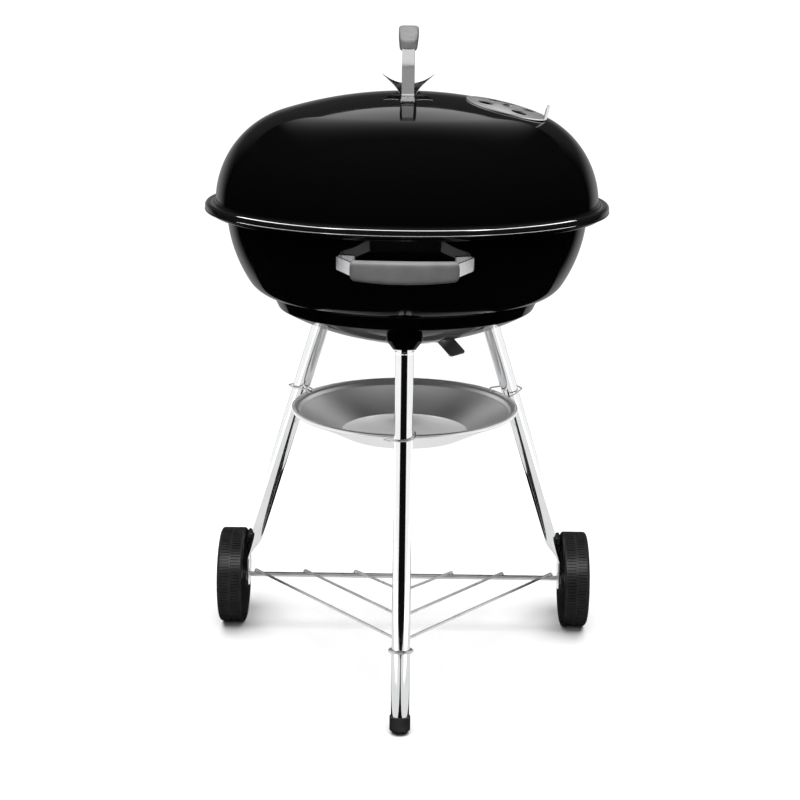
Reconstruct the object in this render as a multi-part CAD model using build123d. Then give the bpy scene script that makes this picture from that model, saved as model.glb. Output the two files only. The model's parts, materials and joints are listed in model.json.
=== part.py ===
"""Kettle charcoal grill: a domed lid on a round bowl, three chromed tube legs and two wheels.

Millimetres, +Z up. Each piece is drawn with the bowl's centre line as Z, and is then moved
along Y when it is written, so that the origin is the middle of the grill's footprint.
The front foot is on -Y, the wheels and their axle are on +Y, and the lid handle runs along Y.
"""
from build123d import *
from math import acos, asin, atan2, cos, degrees, radians, sin, sqrt, tan
import os

# ---------------------------------------------------------------- driving dimensions
SHEET = 2.0                  # enamelled steel of the bowl and the lid
RIM_RADIUS = 288.5           # outside of the lid skirt
RIM_Z = 709.0                # flat top of the lid flange

# Lid: a wall that runs into a knuckle and then a crown, both arcs.
LID_WALL_RADIUS = 273.0
LID_CROWN_RADIUS = 600.0
LID_KNUCKLE_RADIUS = 135.0
LID_TOP_Z = 862.0
SKIRT_DEPTH = 12.0           # from the flange down to the open edge
SKIRT_ROUNDING = 5.0
FLANGE_FILLET = 3.0

# Bowl: rolled rim, a wall of one large arc, a shoulder arc, a ledge, a step and a dished bottom.
BEAD_RADIUS = 8.0            # rolled rim, outside of the roll
BEAD_RING_RADIUS = 273.5
BEAD_Z = 698.7
WALL_TOP_RADIUS = 256.0
WALL_TOP_Z = 675.0
WALL_TOP_LEAN = 8.0          # degrees from upright
WALL_ARC_RADIUS = 200.0
SHOULDER_LEAN = 32.0         # degrees from upright where the wall arc meets the shoulder arc
SHOULDER_RADIUS = 45.0
STEP_TOP_RADIUS = 195.0
STEP_BOTTOM_RADIUS = 186.0
STEP_BOTTOM_Z = 557.0
BOWL_BOTTOM_Z = 507.0
CORNER_ROUNDING = 6.0
BEAD_SHEET = 1.6
BOWL_VENT_PITCH = 44.0
BOWL_VENT_RADIUS = 13.0

# Legs: 25.4 mm tube, set 120 degrees apart.
LEG_DIAMETER = 25.4
LEG_WALL = 1.5
LEG_TOP_Z = 526.0
FRONT_LEG_TOP_REACH = 166.0  # distance from the middle of the grill to the leg's centre line
FRONT_FOOT_REACH = 258.0
REAR_LEG_TOP_REACH = 143.0
REAR_LEG_BEND_REACH = 291.0
REAR_LEG_BEND_Z = 108.0
REAR_LEG_AZIMUTH = 30.0
FOOT_CAP_HEIGHT = 22.0
FOOT_INSET_Z = 9.0           # lower end of the front tube inside its cap
REAR_TAB_HALF = 2.6          # half the thickness of the flattened end
REAR_TAB_WIDTH = 30.0
SQUEEZE_LENGTH = 32.0        # height over which the round tube is pressed flat
TAB_BELOW_AXLE = 18.0
COLLAR_DROP = 2.5            # from the leg's top to the ring pressed into it
COLLAR_WIRE = 2.0
COLLAR_SUNK = 1.2
SOCKET_WALL = 2.6
SOCKET_FLARE = 12.0          # how much wider the flare gets than the tube
SOCKET_FLARE_LENGTH = 12.0
SOCKET_LENGTH = 50.0

# Running gear
AXLE_DIAMETER = 8.0
AXLE_Z = 76.2
WHEEL_RADIUS = 76.2
WHEEL_WIDTH = 40.0
WHEEL_INNER_X = 256.0
WHEEL_HUB_RADIUS = 15.0
WHEEL_BAND = 13.0            # thickness of the tyre band
WHEEL_WEB_HALF = 4.0
WHEEL_CORNER = 4.0
HUB_CAP_RADIUS = 11.0
HUB_CAP_DEPTH = 5.5
WASHER_RADIUS = 10.0
WASHER_THICKNESS = 0.9
RACK_WIRE_RADIUS = 2.0
RACK_AXLE_Z = AXLE_Z + AXLE_DIAMETER / 2 + RACK_WIRE_RADIUS + 0.5
RACK_SLOPE = 0.10            # rise of the rack towards the front leg
RACK_WIRES = ((242.0, -215.0), (162.0, -99.0), (80.0, 37.0))   # half width at the axle, Y of the point

# Ash pan
PAN_RADIUS = 168.0
PAN_RIM_Z = 405.0
PAN_FLOOR_RADIUS = 94.0
PAN_DEPTH = 40.0
PAN_SHEET = 1.5
PAN_ROLL_RADIUS = 3.2
PAN_STEP_WIDTH = 13.0        # from the rim's outside to the step in the wall
PAN_STEP_DEPTH = 10.0
PAN_WIRE_RADIUS = 1.2

# Handles: the lid and the bowl carry the same grip.
GRIP_LENGTH = 138.0
GRIP_WIDTH_MIDDLE = 28.0
GRIP_WIDTH_END = 21.0
GRIP_DEPTH = 19.0
GRIP_RISE = 16.0             # how far the middle of the grip stands out beyond its ends
STRAP_WIDTH = 17.0
STRAP_THICKNESS = 2.6
LID_GRIP_TOP_Z = 952.0
BOWL_GRIP_FRONT_Y = -332.0
BOWL_HANDLE_Z = 659.0
LID_FOOT_Y = 84.0            # where the lid strap meets the lid
LID_FOOT_END_Y = 109.0
SCREW_RADIUS = 3.0
LID_BOLT_Y = 97.0
BOWL_BOLT_AZIMUTHS = (-90.0 - 17.0, -90.0 + 17.0)
BOLT_HEAD_RADIUS = 5.5
BOLT_HEAD_HEIGHT = 4.0

# Heat shield under the lid's grip
SHIELD_SHEET = 1.2
SHIELD_HALF_WIDTH = 36.5
SHIELD_RISE = 13.5           # how far its side wings stand up
SHIELD_TAB_HALF_WIDTH = 9.0
SHIELD_STANDOFF = 9.0        # gap between the lid's top and the middle of the shield
SHIELD_ARCH_HALF = 81.0      # half length of the raised arch; its flat feet lie beyond

# Dampers
DAMPER_RADIUS = 57.5
DAMPER_SHEET = 1.5
LID_DAMPER_REACH = 144.0     # from the lid's axis to the damper's centre
LID_DAMPER_AZIMUTH = -18.0
VENT_PITCH_RADIUS = 34.0
VENT_RADIUS = 11.0
VENT_COUNT = 4
LID_TAB_WIDTH = 17.0
LID_TAB_HEIGHT = 20.0
BOWL_TAB_LENGTH = 30.0
BOWL_TAB_WIDTH = 38.0
BOWL_TAB_SLOPE = 0.75        # drop for each unit outwards
BOWL_DAMPER_RADIUS = 74.0
BOWL_DAMPER_TAB_AZIMUTH = -38.0

# Grates
COOKING_GRATE_RADIUS = 246.0
COOKING_GRATE_Z = 672.0
COOKING_ROD_RADIUS = 2.5
COOKING_ROD_PITCH = 18.0
CHARCOAL_GRATE_RADIUS = 207.0
CHARCOAL_ROD_RADIUS = 3.0
CHARCOAL_ROD_PITCH = 26.0
CHARCOAL_GRATE_Z = 587.0
RING_WIRE_EXTRA = 0.8        # a grate's rim wire is this much thicker in radius than its rods
LIFT_LOOP_HALF = 38.0        # half the length of a lifting handle
LIFT_LOOP_HEIGHT = 22.0
BRACKET_WIDTH = 24.0
BRACKET_SHEET = 2.0
BRACKET_HEIGHT = 20.0

# Clearances between neighbours
PLAY = 0.4
EPSILON = 0.05

# ---------------------------------------------------------------- worked-out sizes
CROWN_CENTRE_Z = LID_TOP_Z - LID_CROWN_RADIUS
KNUCKLE_RING = LID_WALL_RADIUS - LID_KNUCKLE_RADIUS
KNUCKLE_DROP = sqrt((LID_CROWN_RADIUS - LID_KNUCKLE_RADIUS) ** 2 - KNUCKLE_RING ** 2)
KNUCKLE_Z = CROWN_CENTRE_Z + KNUCKLE_DROP
KNUCKLE_ANGLE = atan2(KNUCKLE_DROP, KNUCKLE_RING)

RIM_TOP_Z = BEAD_Z + BEAD_RADIUS
DISH_DEPTH = STEP_BOTTOM_Z - BOWL_BOTTOM_Z
DISH_RADIUS = (STEP_BOTTOM_RADIUS ** 2 + DISH_DEPTH ** 2) / (2 * DISH_DEPTH)
DISH_CENTRE_Z = BOWL_BOTTOM_Z + DISH_RADIUS

WALL_CENTRE = (
    WALL_TOP_RADIUS - WALL_ARC_RADIUS * cos(radians(WALL_TOP_LEAN)),
    WALL_TOP_Z + WALL_ARC_RADIUS * sin(radians(WALL_TOP_LEAN)),
)
SHOULDER_CENTRE = (
    WALL_CENTRE[0] + (WALL_ARC_RADIUS - SHOULDER_RADIUS) * cos(radians(SHOULDER_LEAN)),
    WALL_CENTRE[1] - (WALL_ARC_RADIUS - SHOULDER_RADIUS) * sin(radians(SHOULDER_LEAN)),
)
SHIELD_BEND_RADIUS = (SHIELD_HALF_WIDTH ** 2 + SHIELD_RISE ** 2) / (2 * SHIELD_RISE)
SHIELD_LIFT = STRAP_WIDTH ** 2 / (8 * SHIELD_BEND_RADIUS)   # the strap's foot rests on the bent sheet
AXLE_Y = REAR_LEG_BEND_REACH * sin(radians(REAR_LEG_AZIMUTH))
FOOTPRINT_SHIFT = -(BOWL_GRIP_FRONT_Y + RIM_RADIUS) / 2
LEG_AZIMUTHS = {"front": -90.0, "left": 180.0 - REAR_LEG_AZIMUTH, "right": REAR_LEG_AZIMUTH}


# ---------------------------------------------------------------- small helpers
def polar(radius, azimuth, z=0.0):
    """A point at a distance from the vertical axis, in a direction in degrees from +X."""
    return Vector(radius * cos(radians(azimuth)), radius * sin(radians(azimuth)), z)


def arc_points(centre, radius, start, end):
    """Start, middle and end of an arc in a profile plane, with angles in degrees."""
    middle = (start + end) / 2
    return [
        (centre[0] + radius * cos(radians(a)), centre[1] + radius * sin(radians(a)))
        for a in (start, middle, end)
    ]


def profile_wire(pieces):
    """Join straight runs (two points) and arcs (three points) into one wire on the XZ plane."""
    edges = []
    for piece in pieces:
        points = [Vector(x, 0, z) for x, z in piece]
        if len(points) == 2:
            edges.append(Edge.make_line(*points))
        else:
            edges.append(Edge.make_three_point_arc(*points))
    return Wire(edges)


def turned(pieces):
    """Turn a closed profile of straight runs and arcs around the vertical axis."""
    return Solid.revolve(Face(profile_wire(pieces)), 360, Axis.Z)


def rod(start, end, radius):
    """A round bar between two points."""
    start = Vector(*start)
    end = Vector(*end)
    plane = Plane(origin=start, z_dir=end - start)
    return extrude(plane * Circle(radius), (end - start).length)


def bent_rod(points, bend_radii, radius):
    """A round bar along a route of straight runs with rounded corners."""
    route = FilletPolyline(*points, radius=bend_radii)
    section = Plane(origin=route @ 0, z_dir=route % 0) * Circle(radius)
    return sweep(section, path=route)


def strap_solid(route, thickness, width, plane):
    """A flat band: the route lies in the plane, the band's width stands across it."""
    outline = route.offset_2d(thickness / 2, kind=Kind.ARC, side=Side.BOTH)
    return extrude(plane * Face(outline), width / 2, both=True)


def one_solid(shape):
    """The single solid of a shape that has just one."""
    return shape.solids().sort_by(SortBy.VOLUME)[-1]


def save(name, shape):
    """Move one piece from the bowl's centre line to the grill's own origin and write its STEP file."""
    pieces = shape if isinstance(shape, (list, tuple)) else shape.solids()
    solids = [Pos(0, FOOTPRINT_SHIFT, 0) * piece for piece in pieces]
    export_step(Compound(children=list(solids)) if len(solids) > 1 else solids[0], f"parts/{name}.step")
    print(f"{name}: {len(solids)} solid(s)")


# ---------------------------------------------------------------- lid
def lid_surface(inset):
    """Profile pieces of the lid's outside, moved inwards by inset, from the axis to the open edge."""
    crown = LID_CROWN_RADIUS - inset
    knuckle = LID_KNUCKLE_RADIUS - inset
    fillet_radius = FLANGE_FILLET + inset
    rounding = SKIRT_ROUNDING - inset
    bend = degrees(KNUCKLE_ANGLE)
    wall_end = degrees(asin((RIM_Z + FLANGE_FILLET - KNUCKLE_Z) / knuckle))
    crown_arc = arc_points((0, CROWN_CENTRE_Z), crown, 90, bend)
    knuckle_arc = arc_points((KNUCKLE_RING, KNUCKLE_Z), knuckle, bend, wall_end)
    foot = (LID_WALL_RADIUS + FLANGE_FILLET, RIM_Z + FLANGE_FILLET)
    foot_arc = arc_points(foot, fillet_radius, 180, 270)
    foot_arc[0] = knuckle_arc[-1]
    edge_centre = (RIM_RADIUS - SKIRT_ROUNDING, RIM_Z - SKIRT_ROUNDING)
    edge_arc = arc_points(edge_centre, rounding, 90, 0)
    skirt_end = (RIM_RADIUS - inset, RIM_Z - SKIRT_DEPTH)
    flange = [foot_arc[-1], edge_arc[0]]
    skirt = [edge_arc[-1], skirt_end]
    return [crown_arc, knuckle_arc, foot_arc, flange, edge_arc, skirt]


def lid_damper_plane():
    """Plane at the centre of the crown's sphere: Z through the damper's pivot, X downhill."""
    reach = polar(LID_DAMPER_REACH, LID_DAMPER_AZIMUTH)
    height = sqrt(LID_CROWN_RADIUS ** 2 - LID_DAMPER_REACH ** 2)
    axis = Vector(reach.X, reach.Y, height)
    downhill = Vector(reach.X * height, reach.Y * height, -LID_DAMPER_REACH ** 2)
    return Plane(origin=(0, 0, CROWN_CENTRE_Z), x_dir=downhill, z_dir=axis)


def crown_plane(y, radius=LID_CROWN_RADIUS):
    """Plane on the crown at a distance along Y, facing straight out of the lid."""
    angle = asin(y / LID_CROWN_RADIUS)
    normal = Vector(0, sin(angle), cos(angle))
    origin = Vector(0, 0, CROWN_CENTRE_Z) + normal * radius
    return Plane(origin=origin, x_dir=(1, 0, 0), z_dir=normal)


def vent_holes(plane, pitch, radius, first_angle, low, high):
    """Round cutters spaced evenly around a damper's pivot."""
    cutters = []
    for index in range(VENT_COUNT):
        angle = radians(first_angle + index * 360 / VENT_COUNT)
        spot = plane * Pos(pitch * cos(angle), pitch * sin(angle), low)
        cutters.append(extrude(spot * Circle(radius), high - low, dir=plane.z_dir))
    return cutters


def lid_shell():
    """Domed lid with a flat flange and a short skirt over the bowl's rolled rim."""
    outside = lid_surface(0)
    inside = lid_surface(SHEET)
    back = [list(reversed(piece)) for piece in reversed(inside)]
    top_line = [inside[0][0], outside[0][0]]
    edge_line = [outside[-1][-1], inside[-1][-1]]
    shell = turned(outside + [edge_line] + back + [top_line])
    plane = lid_damper_plane()
    low = LID_CROWN_RADIUS - 12
    high = LID_CROWN_RADIUS + 12
    shell = shell - vent_holes(plane, VENT_PITCH_RADIUS, VENT_RADIUS - 1, 45, low, high)
    shell = shell - extrude(plane * Pos(0, 0, low) * Circle(SCREW_RADIUS), high - low, dir=plane.z_dir)
    for side in (-1, 1):
        bolt = crown_plane(side * LID_BOLT_Y, low)
        shell = shell - extrude(bolt * Circle(SCREW_RADIUS), high - low)
    return one_solid(shell)


def lid_damper():
    """Round damper plate that follows the crown, with four vents and an upright finger tab."""
    plane = lid_damper_plane()
    inner = LID_CROWN_RADIUS + PLAY
    outer = inner + DAMPER_SHEET
    disc = extrude(Circle(DAMPER_RADIUS), outer + 10) - Sphere(inner)
    disc = disc & Sphere(outer)
    disc = one_solid(disc)
    tab = Pos(DAMPER_RADIUS - 1, 0, outer - 4) * Box(
        DAMPER_SHEET, LID_TAB_WIDTH, LID_TAB_HEIGHT, align=(Align.CENTER, Align.CENTER, Align.MIN)
    )
    tab = fillet(tab.edges().filter_by(Axis.X).group_by(Axis.Z)[-1], 5)
    disc = disc + tab
    disc = disc - vent_holes(Plane.XY, VENT_PITCH_RADIUS, VENT_RADIUS, 45, inner - 10, outer + 10)
    disc = disc - extrude(Circle(SCREW_RADIUS + EPSILON), outer + 10)
    return plane * one_solid(disc)


def rivet(inner, outer, head_radius, head_height):
    """A rivet on the local Z axis: a shank between two low domed heads."""
    shank = Pos(0, 0, inner) * extrude(Circle(SCREW_RADIUS - 0.02), outer - inner)
    dome_radius = (head_radius ** 2 + head_height ** 2) / (2 * head_height)
    dome = Pos(0, 0, outer + head_height - dome_radius) * Sphere(dome_radius)
    head = dome & Pos(0, 0, outer) * extrude(Circle(head_radius), head_height)
    tail = Pos(0, 0, inner - 2) * extrude(Circle(head_radius - 1), 2)
    return one_solid(shank + head + tail)


def lid_damper_rivet():
    """Rivet through the damper and the crown."""
    inner = LID_CROWN_RADIUS - SHEET - 0.1
    outer = LID_CROWN_RADIUS + PLAY + DAMPER_SHEET + 0.3
    return lid_damper_plane() * rivet(inner, outer, 7, 2.6)


# ---------------------------------------------------------------- grips and straps
def grip():
    """Moulded grip: long axis on X, its width on Y, bowed towards +Z. Its ends are level with Z = 0."""
    half = GRIP_LENGTH / 2
    outer_arc = ThreePointArc((-half, 0), (0, GRIP_RISE), (half, 0))
    inner_arc = ThreePointArc((half, -GRIP_DEPTH), (0, GRIP_RISE - GRIP_DEPTH), (-half, -GRIP_DEPTH))
    right_end = Line(outer_arc @ 1, inner_arc @ 0)
    left_end = Line(inner_arc @ 1, outer_arc @ 0)
    side_view = Plane.XZ * make_face([outer_arc, right_end, inner_arc, left_end])
    body = extrude(side_view, GRIP_WIDTH_MIDDLE, both=True)
    wide = GRIP_WIDTH_MIDDLE / 2
    narrow = GRIP_WIDTH_END / 2
    front_edge = ThreePointArc((half, narrow), (0, wide), (-half, narrow))
    back_edge = ThreePointArc((-half, -narrow), (0, -wide), (half, -narrow))
    outline = make_face(
        [front_edge, Line(front_edge @ 1, back_edge @ 0), back_edge, Line(back_edge @ 1, front_edge @ 0)]
    )
    body = body & extrude(outline, GRIP_LENGTH, both=True)
    corners = body.edges().filter_by(Axis.Z)
    body = fillet(corners, 7)
    return one_solid(fillet(body.edges(), 4))


def lid_strap_route():
    """Side view of the lid's strap, as (along Y, up Z): foot, leg, inside the grip, leg, foot."""
    foot_radius = LID_CROWN_RADIUS + SHIELD_SHEET + SHIELD_LIFT + STRAP_THICKNESS / 2 + 0.2
    foot_z = [CROWN_CENTRE_Z + sqrt(foot_radius ** 2 - y ** 2) for y in (LID_FOOT_END_Y, LID_FOOT_Y)]
    grip_middle_z = LID_GRIP_TOP_Z - GRIP_DEPTH / 2
    half = [
        (-LID_FOOT_END_Y, foot_z[0]),
        (-LID_FOOT_Y, foot_z[1]),
        (-LID_FOOT_Y + 6, foot_z[1] + 42),
        (-LID_FOOT_Y + 22, grip_middle_z - 12),
    ]
    top = (0, grip_middle_z + 3)
    return half + [top] + [(-y, z) for y, z in reversed(half)]


def lid_handle_strap():
    """Flat steel band: two feet on the crown, two legs, and a span inside the grip."""
    points = [Vector(y, z, 0) for y, z in lid_strap_route()]
    bends = [6, 40, 14, 200, 14, 40, 6]
    route = Wire(FilletPolyline(*points, radius=bends).edges())
    strap = strap_solid(route, STRAP_THICKNESS, STRAP_WIDTH, Plane.YZ)
    for side in (-1, 1):
        bolt = crown_plane(side * LID_BOLT_Y)
        strap = strap - extrude(bolt * Circle(SCREW_RADIUS), 8)
    return one_solid(strap)


def lid_handle_grip():
    """The grip, turned to run along Y above the lid, with the strap's channel through it."""
    placed = Pos(0, 0, LID_GRIP_TOP_Z - GRIP_RISE) * Rot(0, 0, 90) * grip()
    return one_solid(placed - lid_handle_strap())


def lid_handle_bolts():
    """Two bolts from inside the lid into the strap's feet."""
    bolts = []
    for side in (-1, 1):
        under = LID_CROWN_RADIUS - SHEET - 0.1
        plane = crown_plane(side * LID_BOLT_Y, under)
        shank = extrude(plane * Circle(SCREW_RADIUS - EPSILON), 6.5)
        head = extrude(plane * RegularPolygon(BOLT_HEAD_RADIUS, 6), -BOLT_HEAD_HEIGHT)
        bolts.append(one_solid(shank + head))
    return bolts


def shield_sheet(pivot_z, low_z, bend_radius, reach, swing):
    """Sheet with an upward bend across it, swung about an axis along X to both sides of the middle."""
    centre_z = low_z + SHIELD_SHEET + bend_radius
    upper = arc_points((0, centre_z), bend_radius, 270 - reach, 270 + reach)
    lower = arc_points((0, centre_z), bend_radius + SHIELD_SHEET, 270 + reach, 270 - reach)
    section = Face(profile_wire([upper, [upper[-1], lower[0]], lower, [lower[-1], upper[0]]]))
    pivot = Axis((0, 0, pivot_z), (1, 0, 0))
    return revolve(section.rotate(pivot, -swing), pivot, 2 * swing)


def lid_heat_shield():
    """Bright sheet under the grip: an arch with side wings bent up, and two flat feet on the crown."""
    half_width = SHIELD_HALF_WIDTH
    bend_radius = SHIELD_BEND_RADIUS
    reach = degrees(asin(half_width / bend_radius))
    foot_swing = degrees(asin((LID_FOOT_END_Y + 3) / LID_CROWN_RADIUS))
    foot_sheet = shield_sheet(CROWN_CENTRE_Z, LID_TOP_Z + EPSILON, bend_radius, reach, foot_swing)
    arch_sag = LID_CROWN_RADIUS - sqrt(LID_CROWN_RADIUS ** 2 - SHIELD_ARCH_HALF ** 2) + SHIELD_STANDOFF
    arch_radius = (SHIELD_ARCH_HALF ** 2 + arch_sag ** 2) / (2 * arch_sag)
    arch_top = LID_TOP_Z + EPSILON + SHIELD_STANDOFF
    arch_swing = degrees(asin((SHIELD_ARCH_HALF + 0.5) / arch_radius))
    arch = shield_sheet(arch_top - arch_radius, arch_top, bend_radius, reach, arch_swing)
    feet = foot_sheet - Pos(0, 0, LID_TOP_Z) * Box(200, 2 * SHIELD_ARCH_HALF, 200)
    tab = SHIELD_TAB_HALF_WIDTH
    waist = (21.0, 36.0)
    shoulder = (tab, LID_FOOT_Y - 4)
    tip = (half_width + 1, 0)
    end = (tab, LID_FOOT_END_Y + 2)
    quarter = [ThreePointArc(tip, waist, shoulder), Line(shoulder, end), Line(end, (0, end[1]))]
    quarter += [Line((0, end[1]), (0, 0)), Line((0, 0), tip)]
    corner = make_face(quarter)
    right = corner + mirror(corner, Plane.XZ)
    plan = right + mirror(right, Plane.YZ)
    shield = (arch + feet) & (Pos(0, 0, LID_TOP_Z - 40) * extrude(plan, 80))
    for side in (-1, 1):
        bolt = crown_plane(side * LID_BOLT_Y, LID_CROWN_RADIUS - 1)
        shield = shield - extrude(bolt * Circle(SCREW_RADIUS), 6)
    return one_solid(shield)


def bowl_strap_route():
    """Plan view of the bowl's strap: a foot on the wall, a tight turn, a leg, and the grip's span."""
    grip_middle_y = BOWL_GRIP_FRONT_Y + GRIP_DEPTH / 2
    wall = bowl_radius_at(BOWL_HANDLE_Z) + STRAP_THICKNESS / 2 + 1.0
    foot = polar(wall, -90 - 15)
    turn_in = polar(wall + 1.5, -90 - 19.6)
    half = [
        (foot.X, foot.Y),
        (turn_in.X, turn_in.Y),
        (turn_in.X - 1.5, turn_in.Y - 9.5),
        (-62, grip_middle_y + 12.5),
    ]
    middle = (0, grip_middle_y - 3)
    return half + [middle] + [(-x, y) for x, y in reversed(half)]


def bowl_handle_strap():
    """Flat steel band that folds back on itself at both ends and sits against the bowl's wall."""
    points = [Vector(x, y, 0) for x, y in bowl_strap_route()]
    bends = [3.2, 3.6, 16, 200, 16, 3.6, 3.2]
    route = Wire(FilletPolyline(*points, radius=bends).edges())
    strap = Pos(0, 0, BOWL_HANDLE_Z) * strap_solid(route, STRAP_THICKNESS, STRAP_WIDTH, Plane.XY)
    for azimuth in BOWL_BOLT_AZIMUTHS:
        strap = strap - extrude(bowl_bolt_plane(azimuth) * Circle(SCREW_RADIUS), 9)
    return one_solid(strap - bowl_volume(0))


def bowl_handle_grip():
    """The grip, turned to bow towards the front of the bowl."""
    placed = Pos(0, BOWL_GRIP_FRONT_Y + GRIP_RISE, BOWL_HANDLE_Z) * Rot(90, 0, 0) * grip()
    return one_solid(placed - bowl_handle_strap())


def bowl_handle_bolts():
    """Two bolts from inside the bowl into the strap's feet."""
    bolts = []
    for azimuth in BOWL_BOLT_AZIMUTHS:
        plane = bowl_bolt_plane(azimuth)
        shank = extrude(plane * Circle(SCREW_RADIUS - EPSILON), 7.5)
        head = extrude(plane * RegularPolygon(BOLT_HEAD_RADIUS, 6), -BOLT_HEAD_HEIGHT)
        bolts.append(one_solid(shank + head))
    return bolts


def bowl_bolt_plane(azimuth):
    """Plane just inside the bowl's wall at the strap's height, facing outwards."""
    outward = polar(1, azimuth)
    origin = polar(bowl_radius_at(BOWL_HANDLE_Z) - SHEET - 2.2, azimuth, BOWL_HANDLE_Z)
    return Plane(origin=origin, x_dir=(0, 0, 1), z_dir=outward)


# ---------------------------------------------------------------- bowl
def bowl_radius_at(z):
    """Outside radius of the bowl's wall at a height on its large arc."""
    return WALL_CENTRE[0] + sqrt(WALL_ARC_RADIUS ** 2 - (WALL_CENTRE[1] - z) ** 2)


def dish_z(radius, inset=0.0):
    """Height of the dished bottom at a distance from the axis."""
    return DISH_CENTRE_Z - sqrt((DISH_RADIUS - inset) ** 2 - radius ** 2)


def bowl_volume(inset):
    """Everything inside the bowl's outer surface moved inwards by inset, up to the rim's top."""
    step_bottom = (STEP_BOTTOM_RADIUS - inset, dish_z(STEP_BOTTOM_RADIUS - inset, inset))
    dish_angle = degrees(asin(step_bottom[0] / (DISH_RADIUS - inset)))
    dish = arc_points((0, DISH_CENTRE_Z), DISH_RADIUS - inset, -90, -90 + dish_angle)
    dish[-1] = step_bottom
    shoulder = SHOULDER_RADIUS - inset
    ledge_angle = degrees(acos((STEP_TOP_RADIUS - inset - SHOULDER_CENTRE[0]) / shoulder))
    shoulder_arc = arc_points(SHOULDER_CENTRE, shoulder, -ledge_angle, -SHOULDER_LEAN)
    wall_arc = arc_points(WALL_CENTRE, WALL_ARC_RADIUS - inset, -SHOULDER_LEAN, -WALL_TOP_LEAN)
    wall_arc[0] = shoulder_arc[-1]
    rise = RIM_TOP_Z - wall_arc[-1][1]
    wall_end = (wall_arc[-1][0] + rise * tan(radians(WALL_TOP_LEAN)), RIM_TOP_Z)
    pieces = [dish, [step_bottom, shoulder_arc[0]], shoulder_arc, wall_arc, [wall_arc[-1], wall_end]]
    pieces += [[wall_end, (0, RIM_TOP_Z)], [(0, RIM_TOP_Z), dish[0]]]
    body = turned(pieces)
    rings = body.edges().filter_by(GeomType.CIRCLE)
    lower_ring = rings.sort_by(lambda e: abs(e.center().Z - step_bottom[1]))[0]
    body = fillet(lower_ring, CORNER_ROUNDING - inset)
    rings = body.edges().filter_by(GeomType.CIRCLE)
    upper_ring = rings.sort_by(lambda e: abs(e.center().Z - shoulder_arc[0][1]))[0]
    return one_solid(fillet(upper_ring, 3 + inset))


def bowl_rim():
    """Flat flange and the rolled bead outside it."""
    outer = arc_points((BEAD_RING_RADIUS, BEAD_Z), BEAD_RADIUS, 90, -190)
    inner = arc_points((BEAD_RING_RADIUS, BEAD_Z), BEAD_RADIUS - BEAD_SHEET, -190, 90)
    roll = turned([outer, [outer[-1], inner[0]], inner, [inner[-1], outer[0]]])
    flange_inner = WALL_TOP_RADIUS + (RIM_TOP_Z - WALL_TOP_Z) * tan(radians(WALL_TOP_LEAN)) - SHEET
    flange = Circle(BEAD_RING_RADIUS + 0.5) - Circle(flange_inner)
    return roll + Pos(0, 0, RIM_TOP_Z - BEAD_SHEET) * extrude(flange, BEAD_SHEET)


def bowl_shell():
    """Round bowl with its rolled rim, ledge, step, dished bottom and four bottom vents."""
    shell = bowl_volume(0) - bowl_volume(SHEET) + bowl_rim()
    low = BOWL_BOTTOM_Z - 5
    high = BOWL_BOTTOM_Z + 15
    base = Plane.XY
    first = BOWL_DAMPER_TAB_AZIMUTH + 45
    shell = shell - vent_holes(base, BOWL_VENT_PITCH, BOWL_VENT_RADIUS - 1, first, low, high)
    shell = shell - Pos(0, 0, low) * extrude(Circle(SCREW_RADIUS), high - low)
    for azimuth in BOWL_BOLT_AZIMUTHS:
        shell = shell - extrude(bowl_bolt_plane(azimuth) * Circle(SCREW_RADIUS), 8)
    return one_solid(shell)


def bowl_damper():
    """Round plate under the dish, with four vents and a tab bent down for a finger."""
    upper = DISH_RADIUS + PLAY
    lower = upper + DAMPER_SHEET
    centre = Pos(0, 0, DISH_CENTRE_Z)
    column = Pos(0, 0, BOWL_BOTTOM_Z - 10) * extrude(Circle(BOWL_DAMPER_RADIUS), 60)
    disc = one_solid(column & (centre * Sphere(lower)) - centre * Sphere(upper))
    start = polar(BOWL_DAMPER_RADIUS - 1.5, BOWL_DAMPER_TAB_AZIMUTH, dish_z(BOWL_DAMPER_RADIUS) - 1.3)
    outward = polar(1, BOWL_DAMPER_TAB_AZIMUTH)
    down_slope = outward + Vector(0, 0, -BOWL_TAB_SLOPE)
    tab_normal = Vector(0, 0, 1) + outward * BOWL_TAB_SLOPE
    tab_plane = Plane(origin=start, x_dir=down_slope, z_dir=tab_normal)
    tab_align = (Align.MIN, Align.CENTER, Align.CENTER)
    tab = Box(BOWL_TAB_LENGTH, BOWL_TAB_WIDTH, DAMPER_SHEET, align=tab_align)
    tab = fillet(tab.edges().filter_by(Axis.Z).group_by(Axis.X)[-1], 6)
    disc = disc + tab_plane * tab
    low = BOWL_BOTTOM_Z - 10
    first = BOWL_DAMPER_TAB_AZIMUTH + 45
    disc = disc - vent_holes(Plane.XY, BOWL_VENT_PITCH, BOWL_VENT_RADIUS, first, low, low + 60)
    disc = disc - Pos(0, 0, low) * extrude(Circle(SCREW_RADIUS + EPSILON), 60)
    return one_solid(disc)


def bowl_damper_rivet():
    """Rivet through the dish and its damper, head down."""
    outer = PLAY + DAMPER_SHEET + 0.35
    flipped = Pos(0, 0, BOWL_BOTTOM_Z) * Rot(180, 0, 0) * rivet(-SHEET - 0.1, outer, 8, 2.6)
    return one_solid(flipped)


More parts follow.
